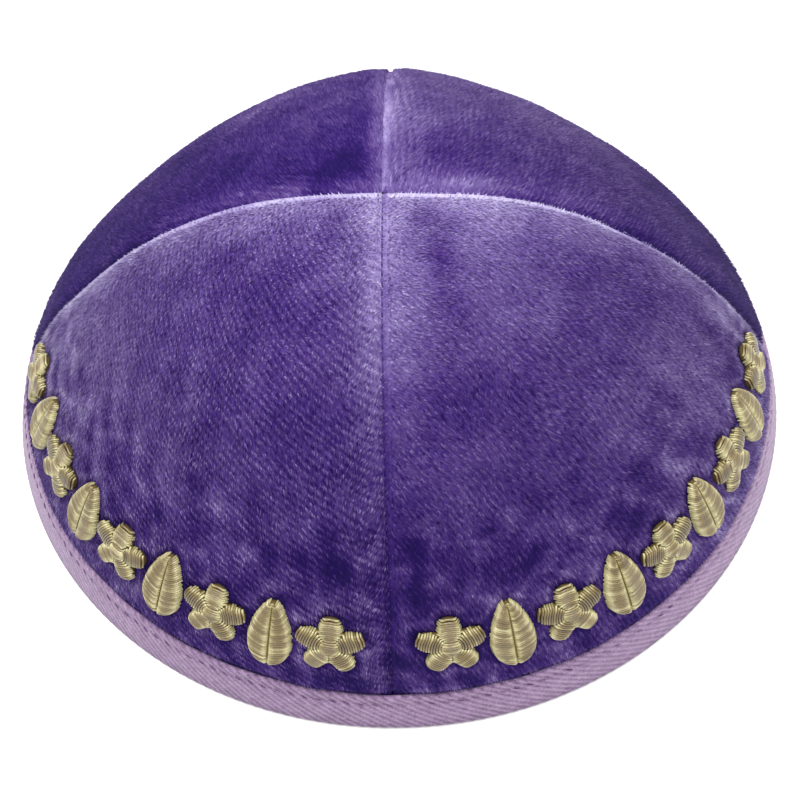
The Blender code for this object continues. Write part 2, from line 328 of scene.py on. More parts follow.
# The camera, by its place and the directions in which its picture's middle, right side and top lie
CAMERA_PLACE = (0.00768, -0.11446, 0.21150)
CAMERA_FORWARD = (-0.02792, 0.45271, -0.89122)
CAMERA_RIGHT = (0.99952, 0.00100, -0.03081)
CAMERA_UP = (0.01306, 0.89166, 0.45253)
CAMERA_LENS = 43.9
CAMERA_SENSOR = 36.0
CAMERA_CLIP = (0.01, 20.0)

# The studio
LIGHT_GAIN = 1.22
SKY_STRENGTH = 0.68
FLOOR_REACH = 8.0


def smooth_step(low, high, value):
    """Rise from 0 at low to 1 at high, level at both ends."""
    share = np.clip((value - low) / (high - low), 0.0, 1.0)
    return share * share * (3.0 - 2.0 * share)


def unit(vectors):
    """The same directions with a length of one."""
    return vectors / np.maximum(np.linalg.norm(vectors, axis=-1, keepdims=True), 1e-12)


def bell(distance):
    """A soft bump: 1 at no distance, falling to nothing at about twice the unit."""
    return np.exp(-distance ** 2)


def run_along(points):
    """How far along a line of points each one is."""
    return np.concatenate(([0.0], np.cumsum(np.linalg.norm(np.diff(points, axis=0), axis=1))))


# The cloth's form


def slope_at(share):
    """The slope in radians at a share of the meridian, on a smooth curve through the table's rows."""
    last = len(MERIDIAN) - 2
    index = next((i for i in range(last) if share < MERIDIAN[i + 1].share), last)
    rows = [MERIDIAN[min(max(index + step, 0), last + 1)] for step in (-1, 0, 1, 2)]
    before, start, end, after = rows
    span = end.share - start.share
    tangent_start = (end.slope_degrees - before.slope_degrees) / (end.share - before.share)
    tangent_end = (after.slope_degrees - start.slope_degrees) / (after.share - start.share)
    u = (share - start.share) / span
    degrees = (
        start.slope_degrees * (1 + 2 * u) * (1 - u) ** 2
        + end.slope_degrees * u * u * (3 - 2 * u)
        + span * tangent_start * u * (1 - u) ** 2
        + span * tangent_end * u * u * (u - 1)
    )
    return math.radians(degrees)


def meridian_curve():
    """Shares of the way down with the reach and the height there, both as shares of the cap's own."""
    middles = (np.arange(PROFILE_STEPS) + 0.5) / PROFILE_STEPS
    slopes = np.array([slope_at(share) for share in middles])
    reach = np.concatenate(([0.0], np.cumsum(np.cos(slopes))))
    fall = np.concatenate(([0.0], np.cumsum(np.sin(slopes))))
    return np.linspace(0.0, 1.0, PROFILE_STEPS + 1), reach / reach[-1], 1.0 - fall / fall[-1]


SHARES, REACHES, HEIGHTS = meridian_curve()
SIDE_ARC = float(np.sum(np.hypot(np.diff(REACHES) * RIM_WIDTH / 2, np.diff(HEIGHTS) * CROWN_HEIGHT)))
TAPE_TOP = 1.0 - TAPE_REACH / SIDE_ARC
STEP_TOP = TAPE_TOP - STEP_REACH / SIDE_ARC
LEVEL_FROM = 2.0 * TAPE_TOP - 1.0
HEM_DEPTH = TAPE_WALL + CLEARANCE
POCKET_DEPTH = HEM_DEPTH + HEM_WALL + CLEARANCE
TAPE_DEPTH = POCKET_DEPTH + TAPE_WALL
RIM_RADIUS = (RIM_WIDTH + RIM_DEPTH) / 4


def share_at_height(height):
    """The share of the way down at which the smooth face is at this height in metres."""
    return np.interp(-np.asarray(height) / CROWN_HEIGHT, -HEIGHTS, SHARES)


def height_at_share(share):
    """The height in metres of the smooth face at a share of the way down."""
    return CROWN_HEIGHT * np.interp(share, SHARES, HEIGHTS)


def pulls_at(angles):
    """How far the middle of the gore at each angle is pulled in."""
    degrees = np.degrees(angles) % 360.0
    pulls = np.zeros_like(degrees)
    for panel in PANELS:
        pulls[(degrees - panel.start_degrees) % 360.0 < 90.0] = panel.pull
    return pulls


def pulled_reach(angle, reach, pull):
    """The reach of the cloth once its middle is pulled in between two seams."""
    edge = PULL_SHARPNESS
    middle = np.sqrt(np.sin(2.0 * angle) ** 2 + edge * edge) - edge
    middle /= math.sqrt(1.0 + edge * edge) - edge
    amount = pull * (1.0 - reach ** 3) - LOW_FULLNESS * reach * (1.0 - reach)
    return reach * (1.0 - amount * middle)


def cloth_points(angle, share, depth, pull):
    """Points at a depth below the smooth outer face. Under the tape the wall is level."""
    angle, share, depth, pull = np.broadcast_arrays(angle, share, depth, pull)
    reach = pulled_reach(angle, np.interp(share, SHARES, REACHES), pull)
    out = np.stack([np.cos(angle) * RIM_WIDTH / 2, np.sin(angle) * RIM_DEPTH / 2], axis=-1)
    radius = np.linalg.norm(out, axis=-1)
    before, after = share - 1.0 / PROFILE_STEPS, share + 1.0 / PROFILE_STEPS
    spread = np.interp(after, SHARES, REACHES) - np.interp(before, SHARES, REACHES)
    drop = np.interp(before, SHARES, HEIGHTS) - np.interp(after, SHARES, HEIGHTS)
    slope = np.arctan2(drop * CROWN_HEIGHT, spread * radius)
    turned = slope + (math.pi / 2 - slope) * smooth_step(LEVEL_FROM, TAPE_TOP, share)
    stretch = depth / np.cos(turned - slope)
    level = out * (reach - stretch * np.sin(turned) / radius)[..., None]
    height = height_at_share(share) - stretch * np.cos(turned)
    return np.concatenate([level, height[..., None]], axis=-1)


def panel_angle(panel, across):
    """The angle round the rim at a share of the way across a gore."""
    return np.radians(panel.start_degrees + 90.0 * np.asarray(across, float))


def spots_at(rows, across, share):
    """The sum of a table's spots at each place on their gore."""
    total = np.zeros(np.broadcast(across, share).shape)
    reach = np.interp(share, SHARES, REACHES)
    for row in rows:
        beside = (across - row.across) * reach * math.pi / 4 / row.wide
        below = (share - row.along) * SIDE_ARC / RIM_WIDTH / row.high
        total = total + row.strength * np.exp(-(beside ** 2 + below ** 2))
    return total


def face_depth(panel, across, share, beside):
    """How far the part's own face lies below the smooth one: its hollows, and its dip by the seams."""
    level = np.sin(math.pi * across) ** 2 * (1.0 - smooth_step(LEVEL_FROM, STEP_TOP, share))
    hollows = PANEL_WALL * spots_at(DENTS[panel.name], across, share) * level
    return hollows + SEAM_DIP * bell(beside / SEAM_ROLL)


def off_the_seams(panel, points):
    """The same points, moved a little so that the two gores at a seam don't touch."""
    middle = math.radians(panel.start_degrees + 45.0)
    sides = np.array([math.copysign(1.0, math.cos(middle)), math.copysign(1.0, math.sin(middle))])
    away = np.maximum(points[..., :2] * sides, 0.0)
    eased = sides * (away + SEAM_GAP / 2 * np.maximum(0.0, 1.0 - away / SEAM_EASE))
    return np.concatenate([eased, points[..., 2:]], axis=-1)


def seam_distance(points):
    """How far each point is from the nearest seam."""
    return np.minimum(np.abs(points[..., 0]), np.abs(points[..., 1]))


def smooth_points(panel, across, share):
    """Points of a gore's smooth outer face."""
    return cloth_points(panel_angle(panel, across), share, 0.0, panel.pull)


def gore_points(panel, across, share, depth, hem_depth=HEM_DEPTH, lift=0.0):
    """Points of a gore at a depth below the smooth face, which turns into the hem's under the tape."""
    tucked = smooth_step(STEP_TOP, TAPE_TOP, share)
    depth = depth * (1.0 - tucked) + hem_depth * tucked
    angle = panel_angle(panel, across)
    return off_the_seams(panel, cloth_points(angle, share, depth - lift, panel.pull))


def plain_points(panel, across, share, lift=0.0):
    """Points of the gore's face as the part has it, or at a lift above it."""
    beside = seam_distance(smooth_points(panel, across, share))
    return gore_points(panel, across, share, face_depth(panel, across, share, beside), lift=lift)


# Where the embroidery goes

Motif = namedtuple("Motif", "name kind panel across share along beside")


def step_lengths(panel, across, share):
    """Metres along the gore and across it for each share of the way, at one place."""
    step = 0.002
    here = plain_points(panel, across, share)
    along = np.linalg.norm(plain_points(panel, across, share + step) - here, axis=-1) / step
    beside = np.linalg.norm(plain_points(panel, across + step, share) - here, axis=-1) / step
    return along, beside


def band_motifs(panel):
    """One gore's motifs, evenly spaced along the band between its two seams."""
    share = TAPE_TOP - MOTIF_BAND / SIDE_ARC
    steps = np.linspace(0.0, 1.0, BAND_SAMPLES + 1)
    run = run_along(plain_points(panel, steps, share))
    side = panel.name.replace("panel_front_", "")
    motifs = []
    for i, place in enumerate(np.linspace(MOTIF_MARGIN, run[-1] - MOTIF_MARGIN, MOTIFS_PER_PANEL)):
        across = float(np.interp(place, run, steps))
        kind = "leaf" if i % 2 else "flower"
        along, beside = step_lengths(panel, across, share)
        name = f"{kind}_{side}_{i + 1}"
        motifs.append(Motif(name, kind, panel, across, share, float(along), float(beside)))
    return motifs


def flower_radius(turn):
    """How far a flower reaches at an angle from its upright petal."""
    between = 0.5 - 0.5 * np.cos(FLOWER_PETALS * turn)
    return FLOWER_SPAN / 2 * (1.0 - FLOWER_NOTCH * between ** PETAL_ROUNDNESS)


def leaf_half_width(up):
    """Half the leaf's width at a height above its middle."""
    level = np.clip(up / (LEAF_HEIGHT / 2), -1.0, 1.0)
    return LEAF_WIDTH / 2 * np.sqrt(1.0 - level ** 2) * (1.0 - LEAF_TAPER * level)


def outline_gap(kind, right, up):
    """How far a place lies outside a motif's outline. It is negative inside."""
    if kind == "flower":
        return np.hypot(right, up) - flower_radius(np.arctan2(right, up))
    beyond = np.abs(up) - LEAF_HEIGHT / 2
    return np.where(beyond > 0.0, np.hypot(right, beyond), np.abs(right) - leaf_half_width(up))


def on_motif(motif, right, up, lift):
    """Points at a place in a motif's own plane, laid on the cloth, at a lift above its face."""
    share = motif.share - up / motif.along
    beside = step_lengths(motif.panel, motif.across, share)[1]
    return plain_points(motif.panel, motif.across + right / beside, share, lift)


MOTIFS = {panel.name: band_motifs(panel) if panel.embroidered else [] for panel in PANELS}


def motif_gap(panel, across, share):
    """How far each place on a gore is outside its nearest motif's outline. It is negative inside."""
    nearest = np.full(np.broadcast(across, share).shape, 1.0)
    for motif in MOTIFS[panel.name]:
        up = (motif.share - share) * motif.along
        spread = np.interp(share, SHARES, REACHES) / np.interp(motif.share, SHARES, REACHES)
        right = (across - motif.across) * motif.beside * spread
        nearest = np.minimum(nearest, outline_gap(motif.kind, right, up))
    return nearest


# The velvet's face and its nap

random_waves = np.random.default_rng(SEED)


def wave_set(count, shortest, longest):
    """Seeded waves: their directions through space, their wave numbers, phases and relative heights."""
    directions = unit(random_waves.normal(size=(count, 3)))
    lengths = shortest * (longest / shortest) ** random_waves.random(count)
    phases = random_waves.random(count) * 2.0 * math.pi
    return directions * (2.0 * math.pi / lengths)[:, None], phases, np.sqrt(lengths / longest)


def wave_height(points, waves):
    """The sum of the waves at each point, about -1 to 1."""
    numbers, phases, heights = waves
    total = np.tensordot(points, numbers.T, axes=1) + phases
    return (np.sin(total) * heights).sum(axis=-1) / math.sqrt(len(phases) / 2)


RIPPLES = wave_set(16, 0.007, 0.028)
SWIRLS = wave_set(12, 0.010, 0.040)
CLOUDS = wave_set(14, 0.012, 0.045)
BLOTCHES = wave_set(18, 0.0035, 0.010)
CLUMPS = wave_set(40, 0.0010, 0.0022)
PAINTED_PUCKER_WAVES = wave_set(16, 0.009, 0.024)
BREAKS = wave_set(20, 0.0035, 0.0110)

# Painted sheen along a gore's seams, where the rolled nap catches the light, and painted shade where
# the strength
# is below nothing: at its start or end, how wide, and how strong it is from the crown to the rim
SeamLight = namedtuple("SeamLight", "at_end width crown upper middle lower")
PAINTED_SEAM_SHEEN = {
    "panel_front_left": (
        SeamLight(False, 0.0060, 0.30, 0.16, 0.24, 0.26),
        SeamLight(True, 0.0065, 0.34, 0.36, 0.05, 0.02),
        SeamLight(False, 0.0010, 0.26, 0.30, 0.24, 0.18),
        SeamLight(True, 0.0008, 0.00, 0.00, -0.06, -0.06),
    ),
    "panel_front_right": (
        SeamLight(False, 0.0080, 0.14, 0.23, -0.08, -0.07),
        SeamLight(True, 0.0060, 0.26, 0.40, 0.22, 0.24),
        SeamLight(False, 0.0009, -0.04, -0.04, -0.06, -0.06),
        SeamLight(True, 0.0010, 0.32, 0.34, 0.26, 0.18),
    ),
    "panel_back_right": (
        SeamLight(False, 0.0040, 0.22, 0.18, -0.08, -0.08),
        SeamLight(True, 0.0060, 0.08, 0.20, 0.06, 0.04),
        SeamLight(False, 0.0012, -0.12, -0.18, -0.10, -0.06),
        SeamLight(True, 0.0010, 0.20, 0.12, 0.06, 0.06),
    ),
    "panel_back_left": (
        SeamLight(False, 0.0026, 0.40, 0.36, 0.14, 0.06),
        SeamLight(True, 0.0030, 0.40, 0.32, -0.02, -0.04),
        SeamLight(False, 0.0010, -0.06, -0.10, -0.06, -0.06),
        SeamLight(True, 0.0012, -0.12, -0.16, -0.10, -0.08),
    ),
}

# Painted sheen and shade of each gore's nap, lighter or darker by how the light falls on it, from the
# crown to the rim, on its start side and on its end side
GoreShade = namedtuple("GoreShade", "crown start_upper end_upper start_lower end_lower")
PAINTED_GORE_SHEEN = {
    "panel_front_left": GoreShade(0.52, 0.46, 0.39, 0.55, 0.27),
    "panel_front_right": GoreShade(0.61, 0.42, 0.42, 0.26, 0.52),
    "panel_back_right": GoreShade(0.40, 0.35, 0.45, 0.24, 0.56),
    "panel_back_left": GoreShade(0.14, 0.20, 0.16, 0.46, 0.20),
}

# Patches of painted sheen and painted shade on the nap, lighter or darker by how the light falls there
PAINTED_NAP_PATCHES = {
    "panel_front_left": (
        Spot(0.22, 0.08, 0.030, 0.020, -0.12),
        Spot(0.38, 0.13, 0.070, 0.026, 0.07),
        Spot(0.14, 0.26, 0.022, 0.045, 0.08),
        Spot(0.46, 0.26, 0.090, 0.040, -0.13),
        Spot(0.70, 0.12, 0.040, 0.020, -0.12),
        Spot(0.88, 0.36, 0.050, 0.060, -0.10),
        Spot(0.12, 0.62, 0.090, 0.090, 0.06),
        Spot(0.86, 0.62, 0.050, 0.040, -0.12),
        Spot(0.93, 0.72, 0.020, 0.030, 0.12),
    ),
    "panel_front_right": (
        Spot(0.66, 0.07, 0.024, 0.018, -0.30),
        Spot(0.37, 0.13, 0.020, 0.026, -0.22),
        Spot(0.30, 0.21, 0.020, 0.030, -0.10),
        Spot(0.76, 0.18, 0.040, 0.030, 0.13),
        Spot(0.34, 0.06, 0.040, 0.014, 0.10),
        Spot(0.30, 0.36, 0.110, 0.040, -0.11),
        Spot(0.84, 0.13, 0.030, 0.020, -0.10),
        Spot(0.20, 0.62, 0.080, 0.080, -0.06),
        Spot(0.10, 0.88, 0.050, 0.025, 0.12),
        Spot(0.42, 0.70, 0.030, 0.040, -0.12),
        Spot(0.74, 0.62, 0.080, 0.060, 0.06),
    ),
    "panel_back_right": (
        Spot(0.44, 0.13, 0.050, 0.022, -0.09),
        Spot(0.46, 0.62, 0.050, 0.050, 0.14),
        Spot(0.84, 0.44, 0.030, 0.040, 0.12),
        Spot(0.10, 0.12, 0.030, 0.020, 0.12),
        Spot(0.86, 0.18, 0.040, 0.040, 0.08),
        Spot(0.60, 0.46, 0.060, 0.040, 0.08),
    ),
    "panel_back_left": (
        Spot(0.74, 0.08, 0.050, 0.024, -0.24),
        Spot(0.38, 0.07, 0.060, 0.014, 0.12),
        Spot(0.42, 0.46, 0.070, 0.060, 0.09),
        Spot(0.66, 0.60, 0.090, 0.060, 0.04),
        Spot(0.28, 0.43, 0.110, 0.045, 0.16),
        Spot(0.10, 0.27, 0.050, 0.040, 0.12),
    ),
}


def painted_gore_sheen(panel, across, share):
    """The broad painted sheen and shade of a gore's nap."""
    row = PAINTED_GORE_SHEEN[panel.name]
    side = smooth_step(*SIDE_BLEND, across)
    upper = row.start_upper + (row.end_upper - row.start_upper) * side
    lower = row.start_lower + (row.end_lower - row.start_lower) * side
    below = upper + (lower - upper) * smooth_step(*FOOT_BLEND, share)
    return row.crown + (below - row.crown) * smooth_step(*CROWN_BLEND, share)


def painted_seam_sheen(panel, points, across, share):
    """The painted light and shade bands along a gore's two seams."""
    total = np.zeros(np.broadcast(across, share).shape)
    for row in PAINTED_SEAM_SHEEN[panel.name]:
        near = across > 0.5 if row.at_end else across <= 0.5
        strength = np.interp(share, PAINTED_SEAM_SHEEN_SHARES, (row.crown, row.upper, row.middle, row.lower))
        total = total + near * strength * bell(seam_distance(points) / row.width)
    return total


def nap_tone_and_painted_light(panel, points, across, share):
    """How light the nap looks at each place, from 0 dark to 1 pale: its painted sheen and shade, with a
    random unevenness of tone.
    """
    # Painted sheen and shade over the gore and by its seams
    shade = painted_gore_sheen(panel, across, share) + painted_seam_sheen(panel, points, across, share)
    # Patches of painted sheen and shade
    shade = shade + spots_at(PAINTED_NAP_PATCHES[panel.name], across, share)
    stitched = smooth_step(*STITCHED_BLEND, share) if panel.embroidered else 0.0
    shade = shade + CLOUD_SHADE * wave_height(points, CLOUDS)
    # Random blotches of tone, made stronger near the stitching as painted shading of its puckers
    shade = shade + (BLOTCH_SHADE + STITCHED_PUCKER_PAINTED_SHADE * stitched) * wave_height(points, BLOTCHES)
    # Painted light and shade of puckers near the stitching
    pucker_shading = bell(wave_height(points, PAINTED_PUCKER_WAVES) / PUCKER_SHADING_SHARPNESS)
    shade = shade + PUCKER_PAINTED_SHADE * stitched * (pucker_shading - PUCKER_SHADING_MEAN)
    # A painted shadow close round each motif, and a painted light rim a little further out
    gap = np.maximum(motif_gap(panel, across, share), 0.0)
    shade = shade - MOTIF_PAINTED_SHADOW * bell(gap / MOTIF_PAINTED_SHADOW_REACH)
    shade = shade + MOTIF_PAINTED_RIM_LIGHT * bell((gap - MOTIF_PAINTED_RIM_GAP) / MOTIF_PAINTED_RIM_REACH)
    # A painted shadow along the tape's upper edge
    edge = (TAPE_TOP - share) * SIDE_ARC
    return np.clip(shade - TAPE_EDGE_PAINTED_SHADOW * bell(edge / TAPE_EDGE_SHADOW_REACH), 0.0, 1.0)


def velvet_points(panel, across, share, lift=0.0):
    """Points of the velvet ground: rolled into its seams, rippled and pressed by the stitching."""
    surface = smooth_points(panel, across, share)
    beside = seam_distance(surface)
    gap = np.maximum(motif_gap(panel, across, share), 0.0)
    above = (STEP_TOP - share) * SIDE_ARC
    depth = face_depth(panel, across, share, beside) + VALLEY_DEPTH * bell(beside / VALLEY_ROLL)
    depth = depth + RIPPLE_RISE * wave_height(surface, RIPPLES) + PRESS_DEPTH * bell(gap / PRESS_REACH)
    depth = depth - PUFF_RISE * bell(above / PUFF_REACH) + PILE_SINK
    return gore_points(panel, across, share, depth, lift=lift)


def lining_points(panel, across, share):
    """Points of the gore's inner side, with its turned-in seam allowances."""
    surface = smooth_points(panel, across, share)
    beside = seam_distance(surface)
    depth = face_depth(panel, across, share, beside)
    depth = depth + LINING_RIPPLE * RIPPLE_RISE * wave_height(surface, RIPPLES)
    folded = 1.0 - smooth_step(ALLOWANCE_REACH - ALLOWANCE_WALL, ALLOWANCE_REACH, beside)
    wall = PANEL_WALL - ALLOWANCE_WALL + ALLOWANCE_WALL * folded
    return gore_points(panel, across, share, depth + wall, HEM_DEPTH + HEM_WALL)


# Making meshes


def new_piece(name, points, faces, materials, smooth=True):
    """A mesh object from its points and its lists of faces. It rides on the cap."""
    data = bpy.data.meshes.new(name)
    groups = [np.asarray(group, np.int32) for group in faces]
    sizes = np.concatenate([np.full(len(group), group.shape[1], np.int32) for group in groups])
    corners = np.concatenate([group.ravel() for group in groups])
    data.vertices.add(len(points))
    data.vertices.foreach_set("co", np.asarray(points, np.float32).ravel())
    data.loops.add(len(corners))
    data.loops.foreach_set("vertex_index", corners)
    data.polygons.add(len(sizes))
    starts = np.concatenate(([0], np.cumsum(sizes)[:-1]))
    data.polygons.foreach_set("loop_start", starts.astype(np.int32))
    data.update(calc_edges=True)
    data.polygons.foreach_set("use_smooth", np.full(len(sizes), smooth))
    for material in materials:
        data.materials.append(material)
    piece = bpy.data.objects.new(name, data)
    bpy.context.scene.collection.objects.link(piece)
    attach(piece, "root")
    return piece


def add_values(piece, name, values):
    """Keep one number for each point of a piece, which its material reads."""
    attribute = piece.data.attributes.new(name, "FLOAT", "POINT")
    attribute.data.foreach_set("value", np.asarray(values, np.float32).ravel())


def add_map(piece, places):
    """Give a piece the flat map of its surface, from a place for each point."""
    layer = piece.data.uv_layers.new(name="OFBake")
    corners = np.zeros(len(piece.data.loops), np.int32)
    piece.data.loops.foreach_get("vertex_index", corners)
    layer.data.foreach_set("uv", np.asarray(places, np.float32)[corners].ravel())


def grid_faces(index):
    """The quads of a grid of point numbers."""
    corners = (index[:-1, :-1], index[1:, :-1], index[1:, 1:], index[:-1, 1:])
    return np.stack(corners, axis=-1).reshape(-1, 4)


def tube_faces(count, rings, sides):
    """The quads and end triangles of closed tubes, whose end points come after all the rings."""
    index = np.arange(count * rings * sides).reshape(count, rings, sides)
    turned = np.roll(index, -1, axis=2)
    quads = np.stack([index[:, :-1], index[:, 1:], turned[:, 1:], turned[:, :-1]], axis=-1)
    tips = index.size + np.arange(2 * count).reshape(count, 2, 1)
    starts = np.stack(np.broadcast_arrays(tips[:, 0], index[:, 0], turned[:, 0]), axis=-1)
    ends = np.stack(np.broadcast_arrays(tips[:, 1], turned[:, -1], index[:, -1]), axis=-1)
    return [quads.reshape(-1, 4), np.concatenate([starts.reshape(-1, 3), ends.reshape(-1, 3)])]


def tubes(paths, ups, radii):
    """Closed round tubes along many paths, as points and faces. Ups point away from the cloth."""
    count, steps = paths.shape[:2]
    along = unit(np.gradient(paths, axis=1))
    side = unit(np.cross(along, ups))
    up = np.cross(side, along)
    turn = 2.0 * math.pi * np.arange(THREAD_SIDES) / THREAD_SIDES
    ring = np.cos(turn)[:, None] * side[:, :, None, :] + np.sin(turn)[:, None] * up[:, :, None, :]
    shell = paths[:, :, None, :] + ring * np.broadcast_to(radii, (count, steps))[:, :, None, None]
    points = np.concatenate([shell.reshape(-1, 3), paths[:, [0, -1]].reshape(-1, 3)])
    return points, tube_faces(count, steps, THREAD_SIDES)


def thinned(end_radius, way):
    """The share of its radius that a thread has, from its middle at 0 to its end at 1."""
    return end_radius + (1.0 - end_radius) * np.sqrt(np.clip(1.0 - way, 0.0, 1.0))


# Materials

MID_GREY = (0.5, 0.5, 0.5, 1.0)
PALE_GREY = (0.86, 0.86, 0.86, 1.0)
WHITE = (1.0, 1.0, 1.0, 1.0)
SHEEN_ROUGHNESS = 0.45

# The unevenness of each cloth and thread
Grain = namedtuple("Grain", "scale detail roughness")
GROUND_GRAIN = Grain(900.0, 2.0, 0.6)
GROUND_MOTTLE = Grain(160.0, 3.0, 0.6)
BACK_MOTTLE = Grain(120.0, 4.0, 0.6)
TWILL_GRAIN = Grain(2400.0, 2.0, 0.7)
TWILL_MOTTLE = Grain(520.0, 2.0, 0.5)
THREAD_GRAIN = Grain(1400.0, 2.0, 0.6)


def principled(name, roughness, colour=MID_GREY, sheen=0.0, tint=WHITE, gloss=0.25):
    """A new material and its shader, with the values that are the same all over."""
    material = bpy.data.materials.new(name)
    material.use_nodes = True
    shader = material.node_tree.nodes["Principled BSDF"]
    values = {"Base Color": colour, "Roughness": roughness, "Sheen Weight": sheen, "Sheen Tint": tint,
              "Sheen Roughness": SHEEN_ROUGHNESS, "Specular IOR Level": gloss}
    for socket, value in values.items():
        shader.inputs[socket].default_value = value
    return material, shader


def linear(*levels):
    """The colour that looks like three 0 to 255 screen levels under the studio's light."""
    levels = np.array(levels) / 255.0
    flat = np.where(levels <= 0.04045, levels / 12.92, ((levels + 0.055) / 1.055) ** 2.4) / LIGHT_GAIN
    return (*flat.tolist(), 1.0)


# The velvet's colour from its deepest painted shade to its palest painted sheen, as screen levels
NapColour = namedtuple("NapColour", "shade red green blue")
NAP_SHADED_TO_LIT_COLOURS = (
    NapColour(0.00, 24, 6, 74),
    NapColour(0.20, 54, 29, 104),
    NapColour(0.40, 86, 63, 126),
    NapColour(0.60, 119, 101, 157),
    NapColour(0.80, 153, 139, 187),
    NapColour(1.00, 192, 183, 217),
)


def nap_shaded_to_lit_colour(shade):
    """The velvet's colour at one level of painted shade and sheen, between the rows of the table."""
    places, *channels = np.array(NAP_SHADED_TO_LIT_COLOURS).T
    return linear(*[float(np.interp(shade, places, levels)) for levels in channels])


def add_node(material, kind, **values):
    """A new node with its settings and the values of its sockets."""
    node = material.node_tree.nodes.new(kind)
    for name, value in values.items():
        if hasattr(node, name):
            setattr(node, name, value)
        else:
            node.inputs[name.replace("_", " ")].default_value = value
    return node


def join(material, source, target):
    """Link one socket to another."""
    material.node_tree.links.new(source, target)


def attribute_value(material, name):
    """The number that a piece keeps for each of its points."""
    return add_node(material, "ShaderNodeAttribute", attribute_name=name).outputs["Fac"]


def paint(material, shader, value, stops):
    """Colour a material by a value, through a ramp of pairs of a place and a colour."""
    node = add_node(material, "ShaderNodeValToRGB")
    elements = node.color_ramp.elements
    while len(elements) < len(stops):
        elements.new(0.5)
    for element, (place, colour) in zip(elements, stops):
        element.position = place
        element.color = colour
    join(material, value, node.inputs["Fac"])
    join(material, node.outputs["Color"], shader.inputs["Base Color"])


def noise(material, grain):
    """Noise fixed to the piece, in metres."""
    place = add_node(material, "ShaderNodeTexCoord")
    node = add_node(material, "ShaderNodeTexNoise", Scale=grain.scale, Detail=grain.detail,
                    Roughness=grain.roughness)
    join(material, place.outputs["Object"], node.inputs["Vector"])
    return node.outputs["Fac"]


def mixed(material, first, second, amount):
    """First plus amount times second less its middle."""
    centred = add_node(material, "ShaderNodeMath", operation="SUBTRACT")
    join(material, second, centred.inputs[0])
    centred.inputs[1].default_value = 0.5
    node = add_node(material, "ShaderNodeMath", operation="MULTIPLY_ADD")
    join(material, centred.outputs[0], node.inputs[0])
    node.inputs[1].default_value = amount
    join(material, first, node.inputs[2])
    return node.outputs[0]


def add_bump(material, shader, height, distance, strength):
    """Let a height bend the shading."""
    node = add_node(material, "ShaderNodeBump", Distance=distance, Strength=strength)
    join(material, height, node.inputs["Height"])
    join(material, node.outputs["Normal"], shader.inputs["Normal"])


SHEEN_TINT = linear(196, 184, 232)
# The ground is painted darker than the tufts over it, as painted shade between them
GROUND_PAINTED_SHADE_POWER = 1.25


def velvet_ground_material():
    """The woven ground under the pile, with the nap's painted sheen and shade on it, painted darker
    still as the shade between the tufts.
    """
    material, shader = principled("velvet_ground", 0.9, sheen=0.04, tint=SHEEN_TINT, gloss=0.1)
    grain = noise(material, GROUND_GRAIN)
    value = mixed(material, attribute_value(material, "nap"), grain, 0.35)
    value = mixed(material, value, noise(material, GROUND_MOTTLE), 0.12)
    stops = [(row.shade, nap_shaded_to_lit_colour(row.shade ** GROUND_PAINTED_SHADE_POWER)) for row in NAP_SHADED_TO_LIT_COLOURS]
    paint(material, shader, value, stops)
    add_bump(material, shader, grain, 0.0003, 0.6)
    return material


def pile_materials():
    """One plain material for each level of the pile's shade: lit and shaded copies of the velvet for
    its painted sheen and shade.
    """
    colours = [nap_shaded_to_lit_colour((i + 0.5) / SHADE_COUNT) for i in range(SHADE_COUNT)]
    return [principled(f"velvet_pile_{i + 1}", 0.85, colour, 0.04, SHEEN_TINT, 0.1)[0]
            for i, colour in enumerate(colours)]


def backing_material():
    """The plain woven back of the velvet, which shows inside the cap."""
    material, shader = principled("velvet_back", 0.9, sheen=0.1)
    place = add_node(material, "ShaderNodeTexCoord")
    weave = add_node(material, "ShaderNodeMath", operation="MAXIMUM")
    for i, degrees in enumerate((45.0, 135.0)):
        mapping = add_node(material, "ShaderNodeMapping", Rotation=(0.0, 0.0, math.radians(degrees)))
        wave = add_node(material, "ShaderNodeTexWave", Scale=330.0, Distortion=0.6, Detail=1.0)
        join(material, place.outputs["Object"], mapping.inputs["Vector"])
        join(material, mapping.outputs["Vector"], wave.inputs["Vector"])
        join(material, wave.outputs["Fac"], weave.inputs[i])
    value = mixed(material, weave.outputs[0], noise(material, BACK_MOTTLE), 0.5)
    paint(material, shader, value, [(0.2, linear(52, 38, 98)), (0.9, linear(98, 80, 150))])
    add_bump(material, shader, weave.outputs[0], 0.0002, 0.7)
    return material


def twill_material():
    """The lilac twill: pale ridges with painted shade in the valleys between them, broken up by its
    yarns.
    """
    material, shader = principled("twill_tape", 0.75, sheen=0.15)
    grain = noise(material, TWILL_GRAIN)
    value = mixed(material, attribute_value(material, "rib"), grain, 1.3)
    value = mixed(material, value, noise(material, TWILL_MOTTLE), 0.6)
    stops = [(0.0, linear(96, 70, 104)), (0.35, linear(134, 108, 142)), (0.75, linear(162, 137, 170)),
             (1.0, linear(186, 162, 192))]
    paint(material, shader, value, stops)
    add_bump(material, shader, grain, 0.00012, 0.5)
    return material


def thread_material():
    """The gold embroidery thread: silky, and lighter or darker from stitch to stitch by painted sheen
    and a random tone.
    """
    material, shader = principled("gold_thread", 0.32, gloss=0.8)
    value = mixed(material, attribute_value(material, "strand"), noise(material, THREAD_GRAIN), 0.4)
    stops = [(0.0, linear(72, 54, 24)), (0.5, linear(124, 106, 60)), (1.0, linear(206, 198, 148))]
    paint(material, shader, value, stops)
    return material


